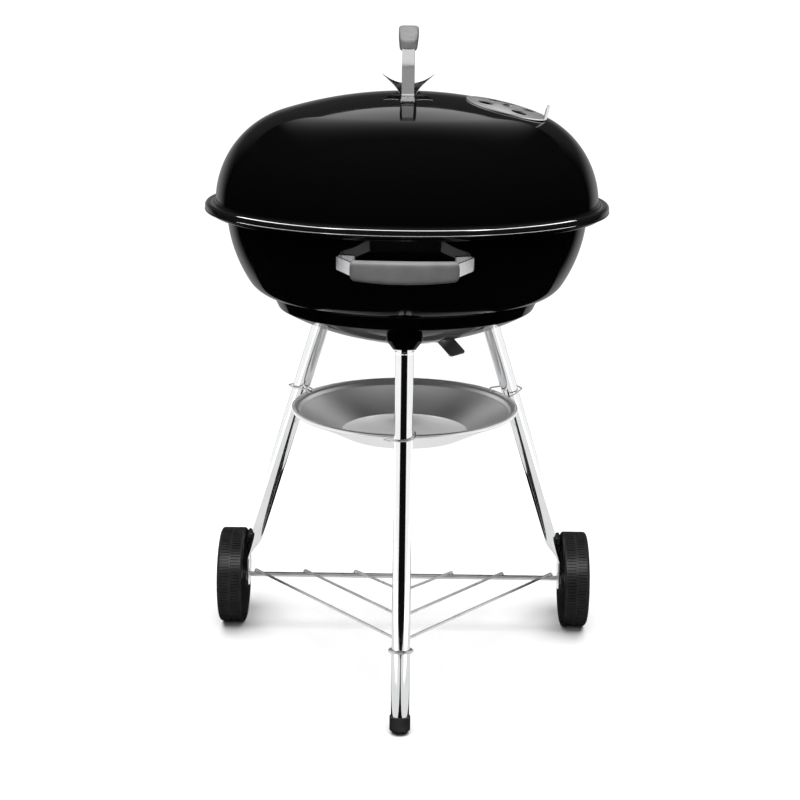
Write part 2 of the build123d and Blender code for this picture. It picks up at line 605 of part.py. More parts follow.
# ---------------------------------------------------------------- grates
def grate(radius, rod_radius, pitch, z, cross_bars):
    """A ring with straight rods along Y welded into it, and cross bars under the rods."""
    ring_wire = rod_radius + RING_WIRE_EXTRA
    ring_radius = radius - ring_wire
    ring = Pos(0, 0, z) * Torus(ring_radius, ring_wire)
    count = int((ring_radius - 2 * rod_radius) // pitch)
    rods = []
    for index in range(-count, count + 1):
        x = index * pitch
        half = sqrt(ring_radius ** 2 - x ** 2)
        rods.append(rod((x, -half, z), (x, half, z), rod_radius))
    for y in cross_bars:
        half = sqrt(ring_radius ** 2 - y ** 2) - rod_radius
        low = z - 1.6 * rod_radius
        rods.append(rod((-half, y, low), (half, y, low), rod_radius))
    return ring, rods


def cooking_grate():
    """Plated wire grate with a bent lifting handle at each side."""
    bars = (-120, 120)
    ring, rods = grate(COOKING_GRATE_RADIUS, COOKING_ROD_RADIUS, COOKING_ROD_PITCH, COOKING_GRATE_Z, bars)
    reach = COOKING_GRATE_RADIUS - COOKING_ROD_RADIUS
    for side in (-1, 1):
        inner_x = side * 0.80 * reach
        outer_x = side * 0.93 * reach
        route = [
            (inner_x, -LIFT_LOOP_HALF, COOKING_GRATE_Z),
            (outer_x, -LIFT_LOOP_HALF, COOKING_GRATE_Z + LIFT_LOOP_HEIGHT),
            (outer_x, LIFT_LOOP_HALF, COOKING_GRATE_Z + LIFT_LOOP_HEIGHT),
            (inner_x, LIFT_LOOP_HALF, COOKING_GRATE_Z),
        ]
        rods.append(bent_rod(route, [7, 7], COOKING_ROD_RADIUS))
    return one_solid(ring + rods)


def charcoal_grate():
    """Heavier wire grate that lies on the bowl's ledge."""
    bars = (-90, 90)
    ring, rods = grate(CHARCOAL_GRATE_RADIUS, CHARCOAL_ROD_RADIUS, CHARCOAL_ROD_PITCH, CHARCOAL_GRATE_Z, bars)
    return one_solid(ring + rods)


def grate_brackets():
    """Four small L brackets on the bowl's wall that carry the cooking grate."""
    brackets = []
    top = COOKING_GRATE_Z - COOKING_ROD_RADIUS - RING_WIRE_EXTRA - 0.3
    wall = bowl_volume(SHEET + 0.1)
    for index in range(4):
        azimuth = 45 + 90 * index
        shelf_z = top - BRACKET_SHEET / 2
        shelf = Pos(COOKING_GRATE_RADIUS - 2, 0, shelf_z) * Box(22, BRACKET_WIDTH, BRACKET_SHEET)
        leg_z = top - BRACKET_HEIGHT / 2
        leg_x = bowl_radius_at(leg_z) - SHEET - 1.5
        leg = Pos(leg_x, 0, leg_z) * Box(3, BRACKET_WIDTH, BRACKET_HEIGHT)
        brackets.append(one_solid((Rot(0, 0, azimuth) * (shelf + leg)) & wall))
    return brackets


# ---------------------------------------------------------------- legs
def leg_line(name):
    """Top point and unit direction, downwards, of a leg's centre line."""
    azimuth = LEG_AZIMUTHS[name]
    if name == "front":
        top = polar(FRONT_LEG_TOP_REACH, azimuth, LEG_TOP_Z)
        low = polar(FRONT_FOOT_REACH, azimuth, 0)
    else:
        top = polar(REAR_LEG_TOP_REACH, azimuth, LEG_TOP_Z)
        low = polar(REAR_LEG_BEND_REACH, azimuth, REAR_LEG_BEND_Z)
    return top, (low - top).normalized()


def leg_point(name, z):
    """Point on a leg's centre line at a height."""
    top, direction = leg_line(name)
    return top + direction * ((z - top.Z) / direction.Z)


def tube(start, end, outer, inner):
    """A straight tube between two points."""
    plane = Plane(origin=start, z_dir=end - start)
    return extrude(plane * (Circle(outer) - Circle(inner)), (end - start).length)


def leg_socket(name):
    """Welded socket under the dish: a flared collar around a short sleeve for the leg."""
    radius = LEG_DIAMETER / 2
    low = leg_point(name, LEG_TOP_Z)
    high = leg_point(name, LEG_TOP_Z + 70)
    sleeve_plane = Plane(origin=low, z_dir=high - low)
    upright = (Align.CENTER, Align.CENTER, Align.MIN)
    flare = Cone(radius + SOCKET_WALL, radius + SOCKET_FLARE, SOCKET_FLARE_LENGTH, align=upright)
    neck_length = SOCKET_LENGTH - SOCKET_FLARE_LENGTH
    neck = Pos(0, 0, SOCKET_FLARE_LENGTH) * extrude(Circle(radius + SOCKET_FLARE), neck_length)
    sleeve = flare + neck
    sleeve = sleeve - extrude(Circle(radius + EPSILON), SOCKET_LENGTH + 10)
    sleeve = sleeve + Pos(0, 0, 16) * extrude(Circle(radius + 2), 30)
    return one_solid(sleeve_plane * sleeve - bowl_volume(-EPSILON) - above_dish())


def above_dish():
    """Space above the step, which no socket reaches."""
    return Pos(0, 0, STEP_BOTTOM_Z + 40) * Box(600, 600, 80)


def collar(name):
    """Raised ring pressed into the leg just below its socket."""
    middle = leg_point(name, LEG_TOP_Z - COLLAR_DROP)
    _, direction = leg_line(name)
    ring = Torus(LEG_DIAMETER / 2 - COLLAR_SUNK, COLLAR_WIRE)
    return Plane(origin=middle, z_dir=direction) * ring


def front_leg():
    """Straight chromed tube from its socket to the foot cap."""
    start = leg_point("front", LEG_TOP_Z + 7)
    end = leg_point("front", FOOT_INSET_Z)
    radius = LEG_DIAMETER / 2
    body = tube(start, end, radius, radius - LEG_WALL)
    cut = Plane(origin=leg_point("front", LEG_TOP_Z - COLLAR_DROP), z_dir=end - start)
    bore = extrude(cut * Circle(radius - LEG_WALL), 10, both=True)
    return one_solid(body + (collar("front") - bore))


def rear_leg(name):
    """Chromed tube whose lower end is pressed flat and bent upright to take the axle."""
    radius = LEG_DIAMETER / 2
    start = leg_point(name, LEG_TOP_Z + 3)
    squeeze = leg_point(name, REAR_LEG_BEND_Z + SQUEEZE_LENGTH)
    body = tube(start, squeeze, radius, radius - LEG_WALL)
    cut = Plane(origin=leg_point(name, LEG_TOP_Z - COLLAR_DROP), z_dir=squeeze - start)
    bore = extrude(cut * Circle(radius - LEG_WALL), 10, both=True)
    body = body + (collar(name) - bore)
    bend = leg_point(name, REAR_LEG_BEND_Z)
    down_plane = Plane(origin=bend, x_dir=(1, 0, 0), z_dir=(0, 0, -1))
    flat_end = down_plane * Ellipse(REAR_TAB_HALF, REAR_TAB_WIDTH / 2)
    neck_start = Plane(origin=squeeze, z_dir=squeeze - start) * Circle(radius)
    body = body + loft([neck_start, flat_end])
    tab = extrude(flat_end, REAR_LEG_BEND_Z - AXLE_Z + TAB_BELOW_AXLE)
    body = body + tab
    hole = Plane(origin=(bend.X, AXLE_Y, AXLE_Z), z_dir=(1, 0, 0)) * Circle(AXLE_DIAMETER / 2 + EPSILON)
    return one_solid(body - extrude(hole, 20, both=True))


def front_foot_cap():
    """Black moulded cap with a domed sole that stands on the floor."""
    cap_radius = LEG_DIAMETER / 2 + 1.8
    sole = 20.0
    flat = 0.4
    centre = leg_point("front", sole - flat)
    _, direction = leg_line("front")
    plane = Plane(origin=centre, z_dir=-direction)
    profile = extrude(Circle(cap_radius), sole + FOOT_CAP_HEIGHT, both=True) & Sphere(sole)
    profile = profile & Pos(0, 0, -sole) * extrude(Circle(sole), sole)
    profile = profile + extrude(Circle(cap_radius), FOOT_CAP_HEIGHT - sole + 3)
    above_floor = Pos(0, centre.Y, 50) * Box(100, 100, 100)
    body = (plane * profile) & above_floor
    inner = leg_point("front", FOOT_INSET_Z)
    bore = Plane(origin=inner, z_dir=-direction) * Circle(LEG_DIAMETER / 2 + EPSILON)
    return one_solid(body - extrude(bore, 60))


# ---------------------------------------------------------------- ash pan and its clips
def ash_pan():
    """Spun pan: flat floor, sloping wall, a small step and a rolled rim."""
    roll = PAN_ROLL_RADIUS
    floor_z = PAN_RIM_Z - PAN_DEPTH
    ring = PAN_RADIUS - roll
    step_radius = PAN_RADIUS - PAN_STEP_WIDTH
    step_z = PAN_RIM_Z - PAN_STEP_DEPTH
    under = [
        (0, floor_z - PAN_SHEET),
        (PAN_FLOOR_RADIUS, floor_z - PAN_SHEET),
        (step_radius, step_z),
        (step_radius + 3.5, step_z + 4.5),
        (ring, PAN_RIM_Z - 2 * roll + 1),
    ]
    inside = [
        (ring, PAN_RIM_Z - 2 * roll + 1 + PAN_SHEET),
        (step_radius + 2.8, step_z + 4.5 + PAN_SHEET),
        (step_radius - 1, step_z + PAN_SHEET),
        (PAN_FLOOR_RADIUS - 0.6, floor_z),
        (0, floor_z),
    ]
    corners = under + inside
    pieces = [[corners[i], corners[(i + 1) % len(corners)]] for i in range(len(corners))]
    return one_solid(turned(pieces) + Pos(0, 0, PAN_RIM_Z - roll) * Torus(ring, roll))


def pan_clip(name):
    """Spring wire around a leg: one end lies over the pan's rim, the other hooks under it."""
    ring = LEG_DIAMETER / 2 + 3.4
    upper_z = PAN_RIM_Z + 3.2
    lower_z = PAN_RIM_Z - 8.4
    leg = leg_point(name, PAN_RIM_Z)
    reach = sqrt(leg.X ** 2 + leg.Y ** 2)
    rim = PAN_RADIUS - 6
    points = [
        (rim - 6, ring - 3, upper_z - 4),
        (rim, ring, upper_z),
        (reach + 2, ring + 0.6, upper_z),
        (reach + ring + 2, ring * 0.5, upper_z),
        (reach + ring + 2, -ring * 0.5, upper_z - 1),
        (reach + 2, -ring - 0.6, upper_z - 4),
        (rim + 7, -ring - 2, lower_z),
        (rim - 2, -ring - 11, lower_z),
    ]
    wire = bent_rod(points, [3, 8, 7, 7, 5, 4], PAN_WIRE_RADIUS)
    return one_solid(Rot(0, 0, LEG_AZIMUTHS[name]) * wire)


# ---------------------------------------------------------------- running gear
def axle():
    """Plain steel axle through both rear legs, long enough for the wheels and caps."""
    half = WHEEL_INNER_X + WHEEL_WIDTH + 2.0
    return rod((-half, AXLE_Y, AXLE_Z), (half, AXLE_Y, AXLE_Z), AXLE_DIAMETER / 2)


def wheel(side):
    """Moulded wheel: a hub, a thin web and a broad tyre band with rounded shoulders."""
    half = WHEEL_WIDTH / 2
    bore = AXLE_DIAMETER / 2 + EPSILON
    hub = WHEEL_HUB_RADIUS
    band = WHEEL_RADIUS - WHEEL_BAND
    web = WHEEL_WEB_HALF
    corner = WHEEL_CORNER
    profile = [
        (bore, -half), (hub, -half), (hub, -web), (band, -web), (band, -half),
        (WHEEL_RADIUS - corner, -half), (WHEEL_RADIUS, -half + corner),
        (WHEEL_RADIUS, half - corner), (WHEEL_RADIUS - corner, half), (band, half),
        (band, web), (hub, web), (hub, half), (bore, half),
    ]
    pieces = [[profile[i], profile[(i + 1) % len(profile)]] for i in range(len(profile))]
    x = side * (WHEEL_INNER_X + half)
    return one_solid(Pos(x, AXLE_Y, AXLE_Z) * Rot(0, 90, 0) * turned(pieces))


def hub_cap(side):
    """Domed push-on cap over the axle's end."""
    depth = HUB_CAP_DEPTH
    cap_radius = HUB_CAP_RADIUS
    dome = (cap_radius ** 2 + depth ** 2) / (2 * depth)
    body = (Pos(0, 0, depth - dome) * Sphere(dome)) & extrude(Circle(cap_radius), depth)
    body = body - extrude(Circle(AXLE_DIAMETER / 2), 2.0 - 0.4)
    x = WHEEL_INNER_X + WHEEL_WIDTH + 0.4
    return one_solid(Pos(side * x, AXLE_Y, AXLE_Z) * Rot(0, 90 * side, 0) * body)


def axle_washers():
    """A thin washer between each rear leg and its wheel."""
    washers = []
    for side in (-1, 1):
        ring = Circle(WASHER_RADIUS) - Circle(AXLE_DIAMETER / 2 + EPSILON)
        x = side * (WHEEL_INNER_X - PLAY)
        place = Pos(x, AXLE_Y, AXLE_Z) * Rot(0, -90 * side, 0)
        washers.append(one_solid(place * extrude(ring, WASHER_THICKNESS)))
    return washers


def rack_height(y):
    """Height of the rack's wires: they rise gently from the axle to the front leg."""
    return RACK_AXLE_Z + (AXLE_Y - y) * RACK_SLOPE


def wire_rack():
    """Three V wires hooked over the axle, joined by a middle rod that grips the front leg."""
    wires = []
    for half_width, apex_y in RACK_WIRES:
        crest = (half_width, AXLE_Y + 5.5, RACK_AXLE_Z)
        stub = (half_width, AXLE_Y + 7.2, RACK_AXLE_Z - 13)
        apex = (0, apex_y, rack_height(apex_y))
        points = [stub, crest, apex, (-crest[0], crest[1], crest[2]), (-stub[0], stub[1], stub[2])]
        wires.append(bent_rod(points, [5, 9, 5], RACK_WIRE_RADIUS))
    grip_z = rack_height(RACK_WIRES[0][1])
    hold = leg_point("front", grip_z)
    _, direction = leg_line("front")
    rod_drop = 2 * RACK_WIRE_RADIUS - 0.6
    back = RACK_WIRES[-1][1] + 6
    front = hold.Y + LEG_DIAMETER / 2 + 1.5
    rod_back = (0, back, rack_height(back) - rod_drop)
    rod_front = (0, front, rack_height(front) - rod_drop)
    wires.append(rod(rod_back, rod_front, RACK_WIRE_RADIUS))
    ring = Plane(origin=(0, hold.Y, grip_z - rod_drop), z_dir=direction)
    wires.append(ring * Torus(LEG_DIAMETER / 2 + RACK_WIRE_RADIUS + 0.8, RACK_WIRE_RADIUS))
    body = wires[0]
    for wire in wires[1:]:
        body = body + wire
    return one_solid(body)


# ---------------------------------------------------------------- the whole grill
def build():
    """Make every piece and write it out under its own name."""
    os.makedirs("parts", exist_ok=True)
    save("lid_shell", lid_shell())
    save("lid_damper", lid_damper())
    save("lid_damper_rivet", lid_damper_rivet())
    save("lid_handle_strap", lid_handle_strap())
    save("lid_handle_grip", lid_handle_grip())
    save("lid_handle_bolts", lid_handle_bolts())
    save("lid_heat_shield", lid_heat_shield())
    save("bowl_shell", bowl_shell())
    save("bowl_damper", bowl_damper())
    save("bowl_damper_rivet", bowl_damper_rivet())
    save("bowl_handle_strap", bowl_handle_strap())
    save("bowl_handle_grip", bowl_handle_grip())
    save("bowl_handle_bolts", bowl_handle_bolts())
    save("cooking_grate", cooking_grate())
    save("charcoal_grate", charcoal_grate())
    save("grate_brackets", grate_brackets())
    save("front_leg", front_leg())
    save("front_foot_cap", front_foot_cap())
    save("ash_pan", ash_pan())
    save("axle", axle())
    save("axle_washers", axle_washers())
    save("wire_rack", wire_rack())
    for name in ("left", "right"):
        side = -1 if name == "left" else 1
        save(f"{name}_rear_leg", rear_leg(name))
        save(f"{name}_wheel", wheel(side))
        save(f"{name}_hub_cap", hub_cap(side))
    for name in LEG_AZIMUTHS:
        save(f"{name}_leg_socket", leg_socket(name))
        save(f"{name}_pan_clip", pan_clip(name))


build()
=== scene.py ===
# %% [markdown]
# # A kettle charcoal grill, from bare frame to finished picture
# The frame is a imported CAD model: 34 solid pieces that already have the right size and place. This
# lesson keeps the small pressed and bent pieces as they are and gives them better finishes. The big
# shiny pieces are made again as fine surfaces, because a mirror finish shows every flat facet.
# Lengths are metres, and MM turns a size in millimetres into metres.

import json
import math

import bpy
import numpy as np
from mathutils import Matrix, Vector


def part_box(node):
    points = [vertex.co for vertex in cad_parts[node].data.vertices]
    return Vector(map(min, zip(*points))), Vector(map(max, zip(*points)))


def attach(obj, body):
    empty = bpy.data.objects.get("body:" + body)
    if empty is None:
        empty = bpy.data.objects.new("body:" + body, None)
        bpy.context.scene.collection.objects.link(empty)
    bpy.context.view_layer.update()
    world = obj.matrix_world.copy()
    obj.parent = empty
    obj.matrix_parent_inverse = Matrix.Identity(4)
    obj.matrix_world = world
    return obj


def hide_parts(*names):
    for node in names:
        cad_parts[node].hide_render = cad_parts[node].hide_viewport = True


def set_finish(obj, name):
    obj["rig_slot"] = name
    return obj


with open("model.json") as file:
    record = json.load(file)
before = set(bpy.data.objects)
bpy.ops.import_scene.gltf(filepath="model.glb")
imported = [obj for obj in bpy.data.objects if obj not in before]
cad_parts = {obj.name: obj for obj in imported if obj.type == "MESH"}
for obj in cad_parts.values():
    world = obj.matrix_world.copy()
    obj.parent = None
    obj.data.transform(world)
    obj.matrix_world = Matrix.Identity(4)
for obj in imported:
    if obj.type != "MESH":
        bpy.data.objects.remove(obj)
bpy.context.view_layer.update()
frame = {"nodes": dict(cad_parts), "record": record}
MM = 0.001
lid_low, lid_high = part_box("lid_shell")
AXIS_Y = (lid_low.y + lid_high.y) / 2

# %% [markdown]
# ## Three helpers for surfaces
# Every new piece is a grid of points: one direction follows a section, the other follows a turn or a
# path. A grid that closes on itself has doubled points along its seam and at its poles. Blender can
# merge doubles, but it's quicker to weld them here: points that share a place get one number, and a
# cell that lost a side at a pole becomes a triangle.

# %% Grid of cells and a welded mesh
def grid_cells(rows, columns):
    """Corner numbers of each cell of a grid whose points are numbered row by row."""
    first = (np.arange(rows - 1)[:, None] * columns + np.arange(columns - 1)).ravel()
    return np.stack([first, first + 1, first + columns + 1, first + columns], axis=1)


def make_piece(name, points, cells, uv=None, crease=38):
    """Weld points that share a place, build the mesh, and shade it smooth up to the crease angle."""
    keys = np.round(points * 1e7).astype(np.int64)
    _, first, number = np.unique(keys, axis=0, return_index=True, return_inverse=True)
    corners = number.reshape(-1)[cells]
    own = corners != np.roll(corners, -1, axis=1)
    whole = own.sum(axis=1) >= 3
    corners, own, cells = corners[whole], own[whole], cells[whole]
    sides = own.sum(axis=1)
    mesh = bpy.data.meshes.new(name)
    mesh.vertices.add(len(first))
    mesh.vertices.foreach_set("co", points[first].astype(np.float32).ravel())
    mesh.loops.add(int(sides.sum()))
    mesh.loops.foreach_set("vertex_index", corners[own].astype(np.int32))
    mesh.polygons.add(len(sides))
    starts = np.concatenate([[0], np.cumsum(sides)[:-1]])
    mesh.polygons.foreach_set("loop_start", starts.astype(np.int32))
    if uv is not None:
        layer = mesh.uv_layers.new(name="surface")
        layer.data.foreach_set("uv", uv[cells][own].astype(np.float32).ravel())
    mesh.update(calc_edges=True)
    mesh.validate()
    mesh.shade_smooth()
    mesh.set_sharp_from_angle(angle=math.radians(crease))
    piece = bpy.data.objects.new(name, mesh)
    bpy.context.scene.collection.objects.link(piece)
    print(name, len(mesh.vertices), "points", len(mesh.polygons), "faces")
    return piece


# %% [markdown]
# ## Profiles
# Sheet metal is drawn as a maker would draw it: straight runs and arcs, joined by small bends. An arc
# is a list of points at even angles. A bend trims both neighbours by the same length and puts a
# quadratic curve between them, with the old corner as its control point.

# %% Arcs and bends
def arc(centre, radius, start, end, step=2.5):
    """Points on a circle, from one angle to another in degrees, about step millimetres apart."""
    count = max(3, int(abs(math.radians(end - start)) * radius / step) + 2)
    angle = np.radians(np.linspace(start, end, count))
    return np.stack([centre[0] + radius * np.cos(angle), centre[1] + radius * np.sin(angle)], axis=1)


def line(start, end, step=3.0):
    """Evenly spaced points from start to end."""
    start, end = np.array(start, float), np.array(end, float)
    count = max(2, int(np.linalg.norm(end - start) / step) + 1)
    return start + np.linspace(0, 1, count)[:, None] * (end - start)


def shortened(run, length):
    """The same run without its last stretch of this length."""
    along = np.concatenate([[0], np.linalg.norm(np.diff(run, axis=0), axis=1).cumsum()])
    stop = along[-1] - length
    tip = [np.interp(stop, along, run[:, 0]), np.interp(stop, along, run[:, 1])]
    return np.vstack([run[along < stop - 1e-6], tip])


def bent(before, after, radius, count=7):
    """Join two runs that meet in a corner. The cut-back length is radius x tan(half the turn)."""
    into = before[-1] - before[-2]
    out = after[1] - after[0]
    cosine = into @ out / (np.linalg.norm(into) * np.linalg.norm(out))
    reach = radius * math.tan(math.acos(max(-1.0, min(1.0, cosine))) / 2)
    corner = before[-1]
    before = shortened(before, reach)
    after = shortened(after[::-1], reach)[::-1]
    t = np.linspace(0, 1, count)[1:-1, None]
    curve = (1 - t) ** 2 * before[-1] + 2 * t * (1 - t) * corner + t ** 2 * after[0]
    return np.vstack([before, curve, after])


def chained(runs, radii):
    """Join several runs one after another, each corner with its own bend radius."""
    whole = runs[0]
    for run, radius in zip(runs[1:], radii):
        whole = bent(whole, run, radius) if radius else np.vstack([whole, run[1:]])
    return whole


# %% [markdown]
# ## Turning a profile
# A spun or pressed kettle is a solid of revolution, so a profile of (distance from the axis, height)
# is carried round the axis. A profile that runs anticlockwise, seen with the axis on its left, gives
# faces that point outwards.

# %% Turned surfaces
def turned(profile, segments=360):
    """Points and UVs of a profile in millimetres, turned about the kettle's axis.
    A point is (r cos a, r sin a, h) for the profile's distance r and height h and the turn a."""
    angle = np.linspace(0, 2 * math.pi, segments + 1)
    angle[-1] = 0
    radius, height = profile[:, 0, None] * MM, profile[:, 1, None] * MM
    points = np.stack(
        [radius * np.cos(angle), AXIS_Y + radius * np.sin(angle), height + 0 * angle], axis=-1
    ).reshape(-1, 3)
    run = np.concatenate([[0], np.linalg.norm(np.diff(profile, axis=0), axis=1).cumsum()]) * MM
    around = np.linspace(0, 1, segments + 1)
    uv = np.stack(np.broadcast_arrays(around[None, :], run[:, None]), axis=-1).reshape(-1, 2)
    return points, grid_cells(len(profile), segments + 1), uv


def with_vents(points, cells, centres, axis, radius):
    """Leave out the cells inside each round vent, and draw the cut edge onto the vent's circle.
    A point's distance from a vent is measured square to the vent's axis."""
    points = points.copy()
    for centre in centres:
        offset = points - centre
        depth = offset @ axis
        flat = offset - depth[:, None] * axis
        distance = np.linalg.norm(flat, axis=1)
        near = np.abs(depth) < 0.02
        middle = distance[cells].mean(axis=1)
        inside = (middle < radius) & near[cells].all(axis=1)
        edge = np.intersect1d(cells[inside], cells[~inside])
        points[edge] += flat[edge] * (radius / distance[edge] - 1)[:, None]
        cells = cells[~inside]
    return points, cells


def give_wall(piece, thickness):
    """Solidify gives a single surface its sheet thickness, on the side its faces turn away from."""
    wall = piece.modifiers.new("sheet", "SOLIDIFY")
    wall.thickness = thickness
    wall.offset = -1


# %% [markdown]
# ## Lid
# The lid is one pressing: a shallow crown of 600 mm radius, a knuckle of 135 mm radius, an upright
# wall, a flat flange and a short skirt that hangs over the bowl's rim. A subdivided cage would round
# the tight bends too much, so the true profile is turned. The four vents under the damper are real
# holes, and Solidify then gives them walls.

# %% Lid sizes and profile
SHEET = 2.0
RIM_RADIUS = 288.5
RIM_Z = 709.0
LID_WALL_RADIUS = 273.0
CROWN_RADIUS = 600.0
KNUCKLE_RADIUS = 135.0
LID_TOP_Z = 862.0
SKIRT_DEPTH = 12.0
CROWN_CENTRE = LID_TOP_Z - CROWN_RADIUS
KNUCKLE_RING = LID_WALL_RADIUS - KNUCKLE_RADIUS
KNUCKLE_DROP = math.sqrt((CROWN_RADIUS - KNUCKLE_RADIUS) ** 2 - KNUCKLE_RING ** 2)
KNUCKLE_Z = CROWN_CENTRE + KNUCKLE_DROP
KNUCKLE_END = math.degrees(math.atan2(KNUCKLE_DROP, KNUCKLE_RING))
HEM_RADIUS = 1.7
wall_start = math.degrees(math.asin((RIM_Z + 4 - KNUCKLE_Z) / KNUCKLE_RADIUS))
skirt_x = RIM_RADIUS - 0.5

RIM_SPLIT = LID_WALL_RADIUS + 5

rim_profile = chained(
    [
        line((skirt_x, RIM_Z - SKIRT_DEPTH + HEM_RADIUS), (skirt_x, RIM_Z - 5), 2),
        arc((RIM_RADIUS - 5.5, RIM_Z - 5), 5, 0, 90, 0.8),
        line((RIM_RADIUS - 5.5, RIM_Z), (RIM_SPLIT, RIM_Z), 1.5),
    ],
    (0, 0),
)
lid_profile = chained(
    [
        line((RIM_SPLIT, RIM_Z), (LID_WALL_RADIUS, RIM_Z), 1.5),
        line((LID_WALL_RADIUS, RIM_Z), (LID_WALL_RADIUS - 0.06, RIM_Z + 4), 1),
        arc((KNUCKLE_RING, KNUCKLE_Z), KNUCKLE_RADIUS, wall_start, KNUCKLE_END, 2.2),
        arc((0, CROWN_CENTRE), CROWN_RADIUS, KNUCKLE_END, 90, 2.2),
    ],
    (2.2, 0, 0),
)

# %% Lid vents and the finished lid
DAMPER_REACH = 144.0
DAMPER_AZIMUTH = math.radians(-18.0)
damper_out = np.array([math.cos(DAMPER_AZIMUTH), math.sin(DAMPER_AZIMUTH), 0.0])
damper_rise = math.sqrt(CROWN_RADIUS ** 2 - DAMPER_REACH ** 2)
damper_axis = (damper_out * DAMPER_REACH + np.array([0, 0, damper_rise])) / CROWN_RADIUS
downhill = damper_out * damper_rise / CROWN_RADIUS - np.array([0, 0, DAMPER_REACH / CROWN_RADIUS])
sideways = np.cross(damper_axis, downhill)
crown_middle = np.array([0, AXIS_Y, CROWN_CENTRE * MM])
turns = np.radians([45, 135, 225, 315])
vent_spots = (
    crown_middle
    + damper_axis * (CROWN_RADIUS - 1) * MM
    + 34 * MM * (np.cos(turns)[:, None] * downhill + np.sin(turns)[:, None] * sideways)
)
points, cells, uv = turned(lid_profile)
points, cells = with_vents(points, cells, vent_spots, damper_axis, 10 * MM)
lid = make_piece("lid_dome", points, cells, uv, 60)
give_wall(lid, (SHEET - 0.3) * MM)
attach(lid, "lid")
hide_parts("lid_shell")
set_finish(lid, "black_enamel")

# %% [markdown]
# ## Rim and hem of the lid
# The flange turns down into a short skirt whose cut edge is rolled into a thin hem. Both are turned
# like the dome, as pieces of their own, so that a lamp can later be aimed at the rim alone: its two
# tight bends are what shows as two bright lines. The hem is a full circle of 1.7 mm radius.

# %% Rim and hem
rim = make_piece("lid_rim", *turned(rim_profile), 60)
give_wall(rim, (SHEET - 0.3) * MM)
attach(rim, "lid")
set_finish(rim, "black_enamel")
hem_circle = arc((RIM_RADIUS - HEM_RADIUS, RIM_Z - SKIRT_DEPTH + HEM_RADIUS), HEM_RADIUS, 0, 360, 0.9)
hem_circle[-1] = hem_circle[0]
hem = make_piece("lid_hem", *turned(hem_circle), 60)
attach(hem, "lid")
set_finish(hem, "black_enamel")

# %% [markdown]
# ## Bowl
# The bowl is pressed too: dished bottom, a step, a ledge that the charcoal grate rests on, a shoulder,
# a leaning wall, a flange, and a rolled bead. The profile follows the inner skin, from the end of the
# roll to the middle of the dish, and the wall's thickness goes outwards.

# %% Bowl sizes and inner profile
BEAD_RADIUS = 8.0
BEAD_RING = 273.5
BEAD_Z = 698.7
WALL_TOP = (256.0, 675.0)
WALL_LEAN = 8.0
WALL_ARC = 200.0
SHOULDER_LEAN = 32.0
SHOULDER_RADIUS = 45.0
STEP_TOP = 195.0
STEP_BOTTOM = 186.0
STEP_Z = 557.0
BOWL_Z = 507.0
RIM_TOP = BEAD_Z + BEAD_RADIUS
lean = math.radians(WALL_LEAN)
slope = math.radians(SHOULDER_LEAN)
wall_centre = (WALL_TOP[0] - WALL_ARC * math.cos(lean), WALL_TOP[1] + WALL_ARC * math.sin(lean))
shoulder_centre = (
    wall_centre[0] + (WALL_ARC - SHOULDER_RADIUS) * math.cos(slope),
    wall_centre[1] - (WALL_ARC - SHOULDER_RADIUS) * math.sin(slope),
)
dish_depth = STEP_Z - BOWL_Z
DISH_RADIUS = (STEP_BOTTOM ** 2 + dish_depth ** 2) / (2 * dish_depth)
dish_centre = BOWL_Z + DISH_RADIUS
ledge_angle = math.degrees(
    math.acos((STEP_TOP - SHEET - shoulder_centre[0]) / (SHOULDER_RADIUS - SHEET))
)
dish_edge = math.degrees(math.asin((STEP_BOTTOM - SHEET) / (DISH_RADIUS - SHEET)))
wall_inner_top = (
    WALL_TOP[0] - SHEET + (RIM_TOP - WALL_TOP[1]) * math.tan(lean),
    RIM_TOP,
)
bead = arc((BEAD_RING, BEAD_Z), BEAD_RADIUS, -190, 90, 1.6)
wall = arc(wall_centre, WALL_ARC - SHEET, -WALL_LEAN, -SHOULDER_LEAN, 3)
shoulder = arc(shoulder_centre, SHOULDER_RADIUS - SHEET, -SHOULDER_LEAN, -ledge_angle, 2)
dish = arc((0, dish_centre), DISH_RADIUS - SHEET, -90 + dish_edge, -90, 3)
bowl_profile = chained(
    [bead, line(bead[-1], wall_inner_top), line(wall_inner_top, wall[0]), wall, shoulder,
     line(shoulder[-1], dish[0], 2), dish],
    (0, 3, 0, 0, 5, 4),
)

# %% Bowl vents and the finished bowl
vent_turns = np.radians(-38 + 45 + 90 * np.arange(4))
bowl_vents = np.stack(
    [44 * MM * np.cos(vent_turns), AXIS_Y + 44 * MM * np.sin(vent_turns), 0 * vent_turns + BOWL_Z * MM],
    axis=1,
)
points, cells, uv = turned(bowl_profile)
points, cells = with_vents(points, cells, bowl_vents, np.array([0, 0, 1.0]), 12 * MM)
bowl = make_piece("bowl_pressing", points, cells, uv, 60)
give_wall(bowl, (SHEET - 0.3) * MM)
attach(bowl, "grill")
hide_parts("bowl_shell")
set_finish(bowl, "black_enamel")

# %% [markdown]
# ## Ash pan
# The pan is spun from aluminium on a lathe: a flat floor, a cone, a groove under a rolled rim. Both
# skins are drawn here as one closed profile, because the rim's roll is thicker than the sheet.

